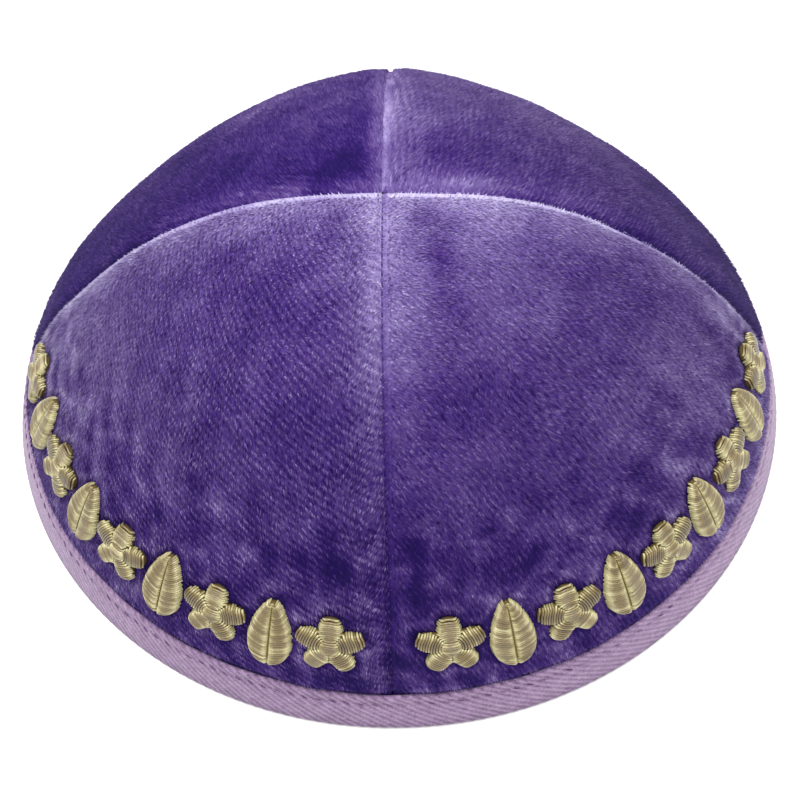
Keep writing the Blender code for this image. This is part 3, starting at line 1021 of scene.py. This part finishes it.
def lock_thread_material():
    """The tape's sewing thread: lilac towards the cap's back right, painted darker to plum towards its
    front left as painted shade, with a random tone from stitch to stitch.
    """
    material, shader = principled("plum_thread", 0.6)
    stops = [(0.15, linear(84, 54, 98)), (0.55, linear(150, 122, 158))]
    paint(material, shader, attribute_value(material, "strand"), stops)
    return material


# The pieces


def gore_columns():
    """The columns of a gore, much closer together beside its seams."""
    steps = np.linspace(0.0, 1.0, GORE_COLUMNS + 1)
    return steps - GORE_CROWDING * np.sin(2.0 * math.pi * steps) / (2.0 * math.pi)


def gore_shares():
    """The rows of a gore below its crown point, closer together by the step under the tape."""
    open_rows = GORE_ROWS - GORE_STEP_ROWS - GORE_HEM_ROWS
    bottom = float(share_at_height(TAPE_WALL + CLEARANCE))
    return np.concatenate([np.linspace(0.0, STEP_TOP, open_rows + 1)[1:],
                           np.linspace(STEP_TOP, TAPE_TOP, GORE_STEP_ROWS + 1)[1:],
                           np.linspace(TAPE_TOP, bottom, GORE_HEM_ROWS + 1)[1:]])


def cut_area(panel):
    """The area of the cloth in one gore, in square metres."""
    steps = np.linspace(0.0, 1.0, AREA_STEPS + 1)
    across, share = np.meshgrid(steps, steps, indexing="ij")
    points = cloth_points(panel_angle(panel, across), share, PANEL_WALL / 2, panel.pull)
    edge, down = points[1:, :-1] - points[:-1, :-1], points[:-1, 1:] - points[:-1, :-1]
    return float(np.linalg.norm(np.cross(edge, down), axis=-1).sum())


def gore_faces(rows, columns):
    """The faces of a closed gore, whose outer rows and crown come first and its inner ones next."""
    index = np.arange(rows * columns).reshape(rows, columns)
    crown = index.size
    inner = crown + 1
    quads = grid_faces(index)
    rim = np.concatenate([[crown], index[:, 0], index[-1, 1:], index[-2::-1, -1], [crown]])
    walls = np.stack([rim[:-1], rim[:-1] + inner, rim[1:] + inner, rim[1:]], axis=1)
    fan = np.stack([np.full(columns - 1, crown), index[0, :-1], index[0, 1:]], axis=1)
    return [quads, quads[:, ::-1] + inner, walls, fan, fan[:, ::-1] + inner]


def gore_map(across, share):
    """Where each point of a gore goes on the flat map: its outer side below, its inner one above."""
    centred = (across - 0.5) * np.interp(share, SHARES, REACHES) * MAP_FILL + 0.5
    flat = np.stack([centred, MAP_MARGIN + MAP_HEIGHT * share], axis=-1).reshape(-1, 2)
    flat = np.concatenate([flat, [[0.5, MAP_MARGIN]]])
    return np.concatenate([flat, flat + np.array([0.0, 0.5])])


def declare_sheet(panel):
    """Work out a gore's flat cloth: how wide it is along its rim edge, and its area. Neither is kept.
    """
    width = float(run_along(plain_points(panel, np.linspace(0.0, 1.0, ROW_SAMPLES), 1.0))[-1])
    round(cut_area(panel), 5)


def make_gore(panel, ground, back):
    """One gore of velvet: ground cloth, inner side, seam edges and hem, closed all round."""
    across, share = np.meshgrid(gore_columns(), gore_shares())
    crown = (np.array([0.5]), np.array([0.0]))
    outer = velvet_points(panel, across, share)
    inner = lining_points(panel, across, share)
    points = np.concatenate([outer.reshape(-1, 3), velvet_points(panel, *crown),
                             inner.reshape(-1, 3), lining_points(panel, *crown)])
    faces = gore_faces(*across.shape)
    piece = new_piece(panel.name.replace("panel", "velvet"), points, faces, [ground, back])
    inside = [np.full(len(group), number in (1, 4)) for number, group in enumerate(faces)]
    piece.data.polygons.foreach_set("material_index", np.concatenate(inside).astype(np.int32))
    # The nap value holds the painted sheen and shade of the nap
    nap = nap_tone_and_painted_light(panel, outer, across, share).ravel()
    add_values(piece, "nap", np.concatenate([nap, nap[:1], nap, nap[:1]]))
    add_map(piece, gore_map(across, share))
    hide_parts(panel.name)
    declare_sheet(panel)


def tuft_places(panel, rng):
    """Scattered places on a gore, evenly dense, none of them under a motif or the tape."""
    steps = np.linspace(0.0, 1.0, ROW_SAMPLES)
    found = []
    last = TAPE_TOP - TUFT_TAPE_MARGIN / SIDE_ARC
    pitch = TUFT_SPACING / SIDE_ARC
    for share in np.arange(TUFT_FIRST_ROW * pitch, last, pitch):
        run = run_along(smooth_points(panel, steps, share))
        count = max(int(run[-1] / TUFT_SPACING), 1)
        place = (np.arange(count) + rng.random(count)) / count * run[-1]
        down = share + (rng.random(count) - 0.5) * pitch
        found.append(np.stack([np.interp(place, run, steps), down], axis=1))
    across, share = np.concatenate(found).T
    share = np.clip(share, TUFT_CROWN_SHARE, last)
    open_cloth = motif_gap(panel, across, share) > -TUFT_MOTIF_OVERLAP
    return across[open_cloth], share[open_cloth]


# The gore edges whose pile lies over the seam and onto the next gore
OVERLAPS = (("panel_front_left", False), ("panel_front_right", True), ("panel_front_right", False),
            ("panel_back_right", True))


def over_seam(panel, roots, across):
    """1 for the tufts that lie over their seam, and 0 for the rest."""
    sides = [(across > 0.5) == at_end for name, at_end in OVERLAPS if name == panel.name]
    own = np.any(sides, axis=0) if sides else np.zeros(len(roots), bool)
    return (own & (seam_distance(roots) < OVERLAP_REACH)).astype(float)


def parting_turn(panel, roots, down, side, over):
    """How far the pile turns from straight down, where a seam parts it or it lies over the seam."""
    middle = math.radians(panel.start_degrees + 45.0)
    inward = np.zeros_like(roots)
    by_x = np.abs(roots[:, 0]) < np.abs(roots[:, 1])
    inward[by_x, 0] = math.copysign(1.0, math.cos(middle))
    inward[~by_x, 1] = math.copysign(1.0, math.sin(middle))
    strength = PARTING * np.exp(-seam_distance(roots) / PARTING_REACH) * (1.0 - 2.0 * over)
    away = down + strength[:, None] * inward
    return np.arctan2((away * side).sum(axis=1), (away * down).sum(axis=1))


# How each gore was cut from the cloth: the slant of its woven rows and of its nap, from straight down,
# and how strongly its rows show
Cut = namedtuple("Cut", "rows_degrees lay_degrees rows_shade")
CUTS = {
    "panel_front_left": Cut(67.0, 65.0, 0.15),
    "panel_front_right": Cut(6.0, 6.0, 0.08),
    "panel_back_right": Cut(40.0, -30.0, 0.07),
    "panel_back_left": Cut(30.0, -10.0, 0.07),
}


def row_shade(panel, points, across, share):
    """The rows of the woven pile, which run straight on the flat cloth and break up here and there."""
    cut = CUTS[panel.name]
    slant = math.radians(cut.rows_degrees)
    beside = (across - 0.5) * np.interp(share, SHARES, REACHES) * RIM_WIDTH * math.pi / 4
    place = beside * math.cos(slant) - share * SIDE_ARC * math.sin(slant)
    wander = ROW_WANDER * wave_height(points, BREAKS)
    return cut.rows_shade * np.sin(2.0 * math.pi * place / ROW_PITCH + wander)


def tuft_frames(panel, across, share):
    """The roots of the tufts, and the directions off the cloth, down the gore and across it there."""
    step = 0.001
    roots = velvet_points(panel, across, share, -TUFT_ROOT)
    inward = np.where(across < 0.5, 1, -1)
    beside = (velvet_points(panel, across + step * inward, share, -TUFT_ROOT) - roots) * inward[:, None]
    below = velvet_points(panel, across, share + step, -TUFT_ROOT) - roots
    normal, down = unit(np.cross(below, beside)), unit(below)
    return roots, normal, down, np.cross(normal, down)


def tuft_headings(panel, roots, down, side, over, rng):
    """The direction along the cloth in which each tuft lies."""
    turn = np.radians(TUFT_SWIRL_DEGREES) * wave_height(roots, SWIRLS)
    turn = turn + TUFT_SCATTER * rng.normal(size=len(roots))
    turn = turn + parting_turn(panel, roots, down, side, over)
    away = smooth_step(0.0, PARTING_REACH, seam_distance(roots))
    turn = turn + math.radians(CUTS[panel.name].lay_degrees) * away
    return unit(np.cos(turn)[:, None] * down + np.sin(turn)[:, None] * side)


def tuft_leans(roots, over, rng):
    """How far each tuft leans over, in radians: less beside a seam, unless it lies over the seam."""
    open_cloth = smooth_step(0.0, TUFT_EDGE_REACH, seam_distance(roots))
    lean = TUFT_EDGE_LEAN_DEGREES + (TUFT_LEAN_DEGREES - TUFT_EDGE_LEAN_DEGREES) * open_cloth
    lean = lean + (OVERLAP_LEAN_DEGREES - lean) * over
    return np.radians(lean + TUFT_LEAN_SCATTER_DEGREES * rng.normal(size=len(roots)))


def tuft_shades(panel, roots, across, share, rng):
    """How light each tuft is: the nap's painted sheen and shade there, with clumps, single strays and
    woven rows.
    """
    grain = CLUMP_SHADE * wave_height(roots, CLUMPS)
    grain = grain + SHADE_SCATTER * rng.uniform(-1.0, 1.0, len(roots))
    grain = grain * np.where(grain > 0.0, PALE_GRAIN, 1.0) + row_shade(panel, roots, across, share)
    grain = grain * (1.0 + LOW_GRAIN * smooth_step(*LOW_GRAIN_BLEND, share))
    return nap_tone_and_painted_light(panel, roots, across, share) + grain


def make_pile(panel, shades):
    """The pile of one gore: short leaning tufts, each a closed spike, coloured by how the nap lies."""
    rng = np.random.default_rng(SEED + int(panel.start_degrees))
    across, share = tuft_places(panel, rng)
    roots, normal, down, side = tuft_frames(panel, across, share)
    count = len(roots)
    over = over_seam(panel, roots, across)
    forward = tuft_headings(panel, roots, down, side, over, rng)
    lean = tuft_leans(roots, over, rng)[:, None]
    length = TUFT_LENGTH * (1.0 + TUFT_LENGTH_SPREAD * (rng.random(count) - 0.5))
    length = (length * (1.0 - (1.0 - OVERLAP_LENGTH) * over))[:, None]
    width = TUFT_HALF_WIDTH * (1.0 + TUFT_WIDTH_SPREAD * (rng.random(count) - 0.5))
    wide = width[:, None] * np.cross(normal, forward)
    heel = roots - TUFT_HEEL * TUFT_HALF_WIDTH * forward
    tips = roots + length * (np.cos(lean) * normal + np.sin(lean) * forward)
    points = np.stack([roots + wide, roots - wide, heel, tips], axis=1).reshape(-1, 3)
    faces = ((4 * np.arange(count))[:, None, None] + np.array(TUFT_FACES)).reshape(-1, 3)
    piece = new_piece(panel.name.replace("panel", "pile"), points, [faces], shades)
    index = shade_index(tuft_shades(panel, roots, across, share, rng))
    piece.data.polygons.foreach_set("material_index", np.repeat(index, len(TUFT_FACES)))
    bend = unit(normal + TUFT_BEND * rng.normal(size=(count, 3)) + TUFT_ROOT_BEND * forward)
    normals = np.stack([bend, bend, bend, unit(bend + TUFT_TIP_BEND * forward)], axis=1).reshape(-1, 3)
    piece.data.normals_split_custom_set_from_vertices(normals.tolist())


def tape_path():
    """The twill's way round the hem from its outer upper edge, as pairs of a depth and a height."""
    top = float(height_at_share(TAPE_TOP))
    half, turn = TAPE_DEPTH / 2, TAPE_FOLD_HEIGHT
    path = [(depth, top + rise) for depth, rise in TAPE_EDGE]
    path += [(0.0, top - drop) for drop in TAPE_DROPS if top - drop > turn]
    for bend in np.linspace(0.0, math.pi, TAPE_FOLD_STEPS + 1):
        path.append((half - half * math.cos(bend), turn - turn * math.sin(bend) ** TAPE_FOLD_SHARPNESS))
    path += [(TAPE_DEPTH, top - drop) for drop in TAPE_DROPS[::-2] if top - drop > turn]
    return np.array(path + [(TAPE_DEPTH - depth, top + rise) for depth, rise in TAPE_EDGE[::-1]])


def edge_waver(angle):
    """How far the tape's upper edge strays from its line, as it does when sewn by hand."""
    waves = [wave.height * np.sin(wave.count * angle + wave.phase) for wave in EDGE_WAVES]
    return EDGE_WAVER * sum(waves)


def tape_tone_and_painted_shade(path, angle, rib, stitched):
    """How light the tape is at each point, with its pocket's points last: painted shade in its rib
    valleys and stitched groove, on its front and towards its fold.
    """
    fold = np.clip(1.0 - path[:, 1] / FOLD_PAINTED_SHADE_HEIGHT, 0.0, 1.0)
    front = FRONT_TAPE_PAINTED_SHADE * np.sin(angle) ** 2
    fade = 1.0 - SIDE_RIB_SHADE_FADE * np.cos(angle) ** 2
    light = TAPE_SHADE + RIB_PAINTED_SHADE * (0.5 + (rib - 0.5) * fade)
    light = light - GROOVE_PAINTED_SHADE * stitched - FOLD_PAINTED_SHADE * fold - front
    return np.concatenate([light, np.full((len(angle), POCKET_POINTS), POCKET_SHADE)], axis=1)


def make_tape(material):
    """The twill tape: a closed ring whose columns follow its slanting ribs."""
    path = tape_path()
    top = float(height_at_share(TAPE_TOP))
    floor = TAPE_WALL + TAPE_FLOOR_GAP
    pocket = [(POCKET_DEPTH, top), (POCKET_DEPTH, floor), (TAPE_WALL, floor), (TAPE_WALL, top)]
    run = run_along(path)
    tangent = unit(np.gradient(path, axis=0))
    inward = np.stack([-tangent[:, 1], tangent[:, 0]], axis=1)
    columns = RIB_COUNT * COLUMNS_PER_RIB
    column = np.arange(columns)[:, None]
    shear = np.concatenate([run, np.linspace(run[-1], 0.0, POCKET_POINTS)]) * RIB_RUN / RIM_RADIUS
    angle = 2.0 * math.pi * column / columns + shear
    rib = 0.5 + 0.5 * np.cos(2.0 * math.pi * column / COLUMNS_PER_RIB)
    nearest_edge = np.minimum(run, run[-1] - run)
    stitched = bell((nearest_edge - TAPE_GROOVE) / TAPE_GROOVE_REACH)
    shift = RIB_RISE * (1.0 - rib) + TAPE_GROOVE_DEPTH * stitched
    section = path + inward * shift[..., None]
    section = np.concatenate([section, np.tile(pocket, (columns, 1, 1))], axis=1)
    depth, height = section[..., 0], section[..., 1]
    height = height + edge_waver(angle) * smooth_step(EDGE_WAVER_FROM * top, top, height)
    points = cloth_points(angle, share_at_height(height), depth, pulls_at(angle))
    index = np.arange(angle.size).reshape(angle.shape)
    index = np.pad(index, ((0, 1), (0, 1)), mode="wrap")
    faces = grid_faces(index.T)
    piece = new_piece("rim_binding_twill", points.reshape(-1, 3), [faces], [material])
    # The rib value holds the tape's painted shade
    add_values(piece, "rib", tape_tone_and_painted_shade(path, angle[:, :len(path)], rib, stitched))
    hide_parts("rim_binding")


def lock_stitches(material):
    """The row of lock stitches that holds the tape, seen on both legs."""
    height = float(height_at_share(TAPE_TOP)) - TAPE_GROOVE
    count = int(round(2.0 * math.pi * RIM_RADIUS / LOCK_PITCH))
    middle = 2.0 * math.pi * np.arange(count) / count
    way = np.linspace(-0.5, 0.5, LOCK_STEPS)
    slant = math.atan2(1.0, RIB_RUN)
    angle = middle[:, None] + way * LOCK_LENGTH * math.cos(slant) / RIM_RADIUS
    level = height - way * LOCK_LENGTH * math.sin(slant) * LOCK_SLANT
    share = share_at_height(level + edge_waver(angle) * LOCK_WAVER)
    arch = 1.0 - (2.0 * way) ** 4
    paths, ups = [], []
    for face, sign in ((0.0, -1.0), (TAPE_DEPTH, 1.0)):
        depth = face + sign * (LOCK_ARCH * arch - TAPE_GROOVE_DEPTH - LOCK_SINK)
        paths.append(cloth_points(angle, share, depth, pulls_at(angle)))
        outer = cloth_points(angle, share, depth + sign * UP_STEP, pulls_at(angle))
        ups.append(unit(outer - paths[-1]))
    radii = LOCK_RADIUS * thinned(LOCK_END_RADIUS, (2.0 * way) ** 2)
    radii = radii * np.random.default_rng(SEED + 2).uniform(LOCK_THINNEST, 1.0, (2 * count, 1))
    points, faces = tubes(np.concatenate(paths), np.concatenate(ups), radii)
    piece = new_piece("tape_stitches", points, faces, [material])
    # Painted shade: stitches darker the further round they are from the palest side
    paleness = 0.5 + 0.5 * np.cos(np.tile(middle, 2) - LOCK_PALEST_SIDE)
    tone = paleness + LOCK_TONE_SPREAD * np.random.default_rng(SEED + 3).normal(size=2 * count)
    shell = np.repeat(tone, LOCK_STEPS * THREAD_SIDES)
    add_values(piece, "strand", np.concatenate([shell, np.repeat(tone, 2)]))


def shade_index(shades):
    """The pile material for each shade."""
    return np.clip((np.asarray(shades) * SHADE_COUNT).astype(np.int32), 0, SHADE_COUNT - 1)


def seam_tubes(panel, shares, depth, radii):
    """Tubes along the seam at a gore's start, at a depth in it."""
    angle = math.radians(panel.start_degrees)
    paths = cloth_points(angle, shares, depth, 0.0)
    return tubes(paths, unit(cloth_points(angle, shares, depth - UP_STEP, 0.0) - paths), radii)


def seam_groove(panel, darker):
    """The strand of cloth deep in the seam at a gore's start: its points, faces and materials. Its
    colour is the nap's beside it, with the seam's painted shade.
    """
    shares = np.linspace(SEAM_CORD_FROM, TAPE_TOP, SEAM_CORD_STEPS)[None]
    depth = SEAM_FLOOR + SEAM_CORD_SINK
    points, faces = seam_tubes(panel, shares, depth, SEAM_CORD_RADIUS)
    path = cloth_points(math.radians(panel.start_degrees), shares, depth, 0.0)
    index = shade_index(nap_tone_and_painted_light(panel, path, 0.0, shares) - darker)[0]
    quads = np.repeat(index[1:], THREAD_SIDES)
    return points, faces, np.concatenate([quads, np.repeat(index[[0, -1]], THREAD_SIDES)])


def seam_thread(panel):
    """The stitches that show along the seam at a gore's start."""
    last = STEP_TOP - SEAM_STITCH_MARGIN
    starts = np.arange(SEAM_STITCH_FROM, last, SEAM_STITCH_PITCH / SIDE_ARC)[:, None]
    way = np.linspace(0.0, 1.0, SEAM_STITCH_STEPS)
    arch = np.sin(math.pi * way)
    depth = SEAM_FLOOR - SEAM_STITCH_ARCH * SEAM_STITCH_RADIUS * arch
    shares = starts + way * SEAM_STITCH_LENGTH / SIDE_ARC
    points, faces = seam_tubes(panel, shares, depth, SEAM_STITCH_RADIUS * (0.5 + 0.5 * arch))
    return points, faces, np.full(sum(len(group) for group in faces), shade_index(SEAM_STITCH_SHADE))


def seam_stitches(shades):
    """The four seams' grooves, and the stitches that show in the front one."""
    made = []
    for panel in PANELS:
        seam = SEAMS[panel.name]
        made.append(seam_groove(panel, seam.darker))
        if seam.stitched:
            made.append(seam_thread(panel))
    points, faces, indices = zip(*made)
    firsts = np.cumsum([0] + [len(group) for group in points])
    faces = [group + first for groups, first in zip(faces, firsts) for group in groups]
    piece = new_piece("seam_stitches", np.concatenate(points), faces, shades)
    piece.data.polygons.foreach_set("material_index", np.concatenate(indices).astype(np.int32))


def petal_threads(rng):
    """The threads of a flower's petals: which petal, how far out each lies, and half its length."""
    turn = np.linspace(0.0, math.pi / FLOWER_PETALS, PETAL_SAMPLES)
    reach = flower_radius(turn)
    threads = []
    for petal in range(FLOWER_PETALS):
        for out in np.arange(BUTTON_RADIUS * PETAL_FOOT, FLOWER_SPAN / 2 - PETAL_TIP, THREAD_PITCH):
            half = float(np.max(np.where(reach * np.cos(turn) >= out, reach * np.sin(turn), 0.0)))
            half = min(half, out * math.tan(math.pi / FLOWER_PETALS) - PETAL_GAP)
            half += THREAD_STRAY * rng.normal()
            if half > SHORTEST_PETAL_THREAD:
                threads.append((petal, out, half))
    return threads


def satin_lift(kind, right, up):
    """How high the stitches lie over the cloth, rolling down to it at the motif's outline."""
    inside = np.clip(-outline_gap(kind, right, up) / EDGE_ROLL, 0.0, 1.0)
    return THREAD_FOOT + (THREAD_TOP - THREAD_FOOT) * np.sqrt(1.0 - (1.0 - inside) ** 2)


def lay_thread(motif, right, up, lift):
    """One thread's points on the cloth, and the same points a little higher, which show the way up."""
    return on_motif(motif, right, up, lift), on_motif(motif, right, up, lift + UP_STEP)


def flower_threads(motif, rng):
    """The satin stitches of a flower: across each petal, with a round button in the middle."""
    way = np.linspace(-1.0, 1.0, THREAD_STEPS)
    threads = []
    for petal, out, half in petal_threads(rng):
        turn = 2.0 * math.pi * petal / FLOWER_PETALS
        bow = out + PETAL_BOW * (1.0 - way ** 2)
        right = bow * math.sin(turn) + half * way * math.cos(turn)
        up = bow * math.cos(turn) - half * way * math.sin(turn)
        threads.append(lay_thread(motif, right, up, satin_lift("flower", right, up)))
    for level in np.arange(-BUTTON_RADIUS + THREAD_PITCH / 2, BUTTON_RADIUS, THREAD_PITCH):
        half = math.sqrt(BUTTON_RADIUS ** 2 - level ** 2) + BUTTON_OVERHANG
        dome = BUTTON_RISE * (1.0 - (level / BUTTON_RADIUS) ** 2)
        lift = BUTTON_FOOT + (THREAD_TOP + dome - BUTTON_FOOT) * (1.0 - np.abs(way) ** 3.0)
        threads.append(lay_thread(motif, half * way, np.full(THREAD_STEPS, level), lift))
    return threads


def leaf_threads(motif, rng):
    """The satin stitches of a leaf: slanting up from the midrib to both edges."""
    way = np.linspace(-1.0, 1.0, THREAD_STEPS)
    reach = np.linspace(0.0, LEAF_WIDTH, LEAF_SAMPLES)
    first, last = LEAF_FIRST_THREAD - LEAF_HEIGHT / 2, LEAF_HEIGHT / 2 - LEAF_LAST_THREAD
    threads = []
    for side, foot in itertools.product((-1.0, 1.0), np.arange(first, last, THREAD_PITCH)):
        done = foot / LEAF_HEIGHT + 0.5
        slant = math.radians(LEAF_SLANT_DEGREES + (LEAF_TIP_DEGREES - LEAF_SLANT_DEGREES) * done ** 3)
        right, up = reach * math.cos(slant), foot + reach * math.sin(slant)
        inside = (np.abs(up) < LEAF_HEIGHT / 2) & (right <= leaf_half_width(up))
        length = float(np.max(reach[inside], initial=0.0))
        if length < SHORTEST_LEAF_THREAD:
            continue
        length += THREAD_STRAY * rng.normal()
        gone = LEAF_MIDRIB_GAP + length * (way + 1.0) / 2
        bow = LEAF_BOW * (1.0 - way ** 2)
        right = side * (gone * math.cos(slant) + bow * math.sin(slant))
        up = foot + gone * math.sin(slant) - bow * math.cos(slant)
        lift = satin_lift("leaf", right, up) - MIDRIB_DEPTH * bell(right / MIDRIB_REACH)
        threads.append(lay_thread(motif, right, up, lift))
    return threads


def core_rings(motif):
    """The smooth underlay of a motif, as rings of points from its foot to its top."""
    turn = np.linspace(0.0, 2.0 * math.pi, CORE_SIDES, endpoint=False)
    if motif.kind == "flower":
        right, up = flower_radius(turn) * np.sin(turn), flower_radius(turn) * np.cos(turn)
    else:
        right = LEAF_WIDTH / 2 * np.sin(turn) * (1.0 - LEAF_TAPER * np.cos(turn))
        up = LEAF_HEIGHT / 2 * np.cos(turn)
    return np.array([on_motif(motif, right * ring.scale, up * ring.scale, ring.lift)
                     for ring in CORE_RINGS])


def make_core(motif):
    """The underlay's points and faces, closed above and below."""
    ends = np.array([on_motif(motif, 0.0, 0.0, lift) for lift in (CORE_FOOT, CORE_TOP)])
    points = np.concatenate([core_rings(motif).reshape(-1, 3), ends])
    return points, tube_faces(1, len(CORE_RINGS), CORE_SIDES)


def thread_tones_and_painted_sheen(paths, way, rng):
    """How light each thread is at its steps: painted sheen, paler where it runs level and at its two
    ends, darker where it runs upright, and a random tone.
    """
    gone = unit(paths[:, -1] - paths[:, 0])
    tone = 0.5 + LEVEL_THREAD_PAINTED_SHEEN * (1.0 - 2.0 * gone[:, 2] ** 2)
    tone = tone + THREAD_TONE_SPREAD * rng.normal(size=len(paths))
    along = tone[:, None] + STITCH_END_PAINTED_SHEEN * (way ** 2 - STITCH_END_SHEEN_MEAN)
    return np.concatenate([np.repeat(along.ravel(), THREAD_SIDES), np.repeat(tone, 2)])


def make_motif(motif, thread, underlay, rng):
    """One embroidered flower or leaf: its satin stitches over its underlay."""
    threads = flower_threads(motif, rng) if motif.kind == "flower" else leaf_threads(motif, rng)
    paths, above = np.swapaxes(threads, 0, 1)
    way = np.linspace(-1.0, 1.0, THREAD_STEPS)
    radii = THREAD_RADIUS * thinned(THREAD_END_RADIUS, way ** 4)
    points, faces = tubes(paths, unit(above - paths), radii)
    core, core_faces = make_core(motif)
    made = sum(len(group) for group in faces)
    faces += [group + len(points) for group in core_faces]
    piece = new_piece(f"satin_{motif.name}", np.concatenate([points, core]), faces, [thread, underlay])
    in_core = np.arange(len(piece.data.polygons)) >= made
    piece.data.polygons.foreach_set("material_index", in_core.astype(np.int32))
    add_values(piece, "strand", np.concatenate([thread_tones_and_painted_sheen(paths, way, rng), np.zeros(len(core))]))
    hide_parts(motif.name)


def make_floor():
    """A pale floor that the cap stands on."""
    corners = [(-FLOOR_REACH, -FLOOR_REACH, 0.0), (FLOOR_REACH, -FLOOR_REACH, 0.0),
               (FLOOR_REACH, FLOOR_REACH, 0.0), (-FLOOR_REACH, FLOOR_REACH, 0.0)]
    data = bpy.data.meshes.new("floor")
    data.from_pydata(corners, [], [(0, 1, 2, 3)])
    data.materials.append(principled("pale_floor", 0.9, PALE_GREY)[0])
    floor = bpy.data.objects.new("floor", data)
    bpy.context.scene.collection.objects.link(floor)


def make_camera():
    """The camera at the photograph's place, angle and focal length."""
    data = bpy.data.cameras.new("camera")
    data.lens = CAMERA_LENS
    data.sensor_width = CAMERA_SENSOR
    data.clip_start, data.clip_end = CAMERA_CLIP
    camera = bpy.data.objects.new("camera", data)
    back = -Vector(CAMERA_FORWARD)
    turn = Matrix((CAMERA_RIGHT, CAMERA_UP, back)).transposed()
    camera.matrix_world = Matrix.Translation(CAMERA_PLACE) @ turn.to_4x4()
    bpy.context.scene.collection.objects.link(camera)
    bpy.context.scene.camera = camera


# The studio's soft boxes: place, the point they face, width, power in watts
Lamp = namedtuple("Lamp", "name place aim width watts")
LAMPS = (
    Lamp("lamp_above", (-0.10, 0.15, 0.90), (0.0, 0.0, 0.04), 0.6, 12.0),
    Lamp("lamp_front", (0.35, -0.75, 0.55), (0.0, 0.0, 0.03), 0.5, 3.5),
)


def make_lights():
    """Soft boxes and an even pale sky."""
    for lamp in LAMPS:
        data = bpy.data.lights.new(lamp.name, "AREA")
        data.size = lamp.width
        data.energy = lamp.watts
        light = bpy.data.objects.new(lamp.name, data)
        light.location = lamp.place
        facing = Vector(lamp.aim) - Vector(lamp.place)
        light.rotation_euler = facing.to_track_quat("-Z", "Y").to_euler()
        bpy.context.scene.collection.objects.link(light)
    world = bpy.data.worlds.new("studio")
    world.use_nodes = True
    sky = world.node_tree.nodes["Background"]
    sky.inputs["Color"].default_value = WHITE
    sky.inputs["Strength"].default_value = SKY_STRENGTH
    bpy.context.scene.world = world


def main():
    """Dress the cap and set up the studio."""
    ground, back, shades = velvet_ground_material(), backing_material(), pile_materials()
    make_tape(twill_material())
    for panel in PANELS:
        make_gore(panel, ground, back)
        make_pile(panel, shades)
    lock_stitches(lock_thread_material())
    seam_stitches(shades)
    thread = thread_material()
    underlay = principled("gold_underlay", 0.8, linear(92, 76, 40))[0]
    rng = np.random.default_rng(SEED + 1)
    for motifs in MOTIFS.values():
        for motif in motifs:
            make_motif(motif, thread, underlay, rng)
    make_floor()
    make_camera()
    make_lights()
    bpy.context.scene.view_settings.view_transform = "Standard"


main()

bpy.context.view_layer.update()
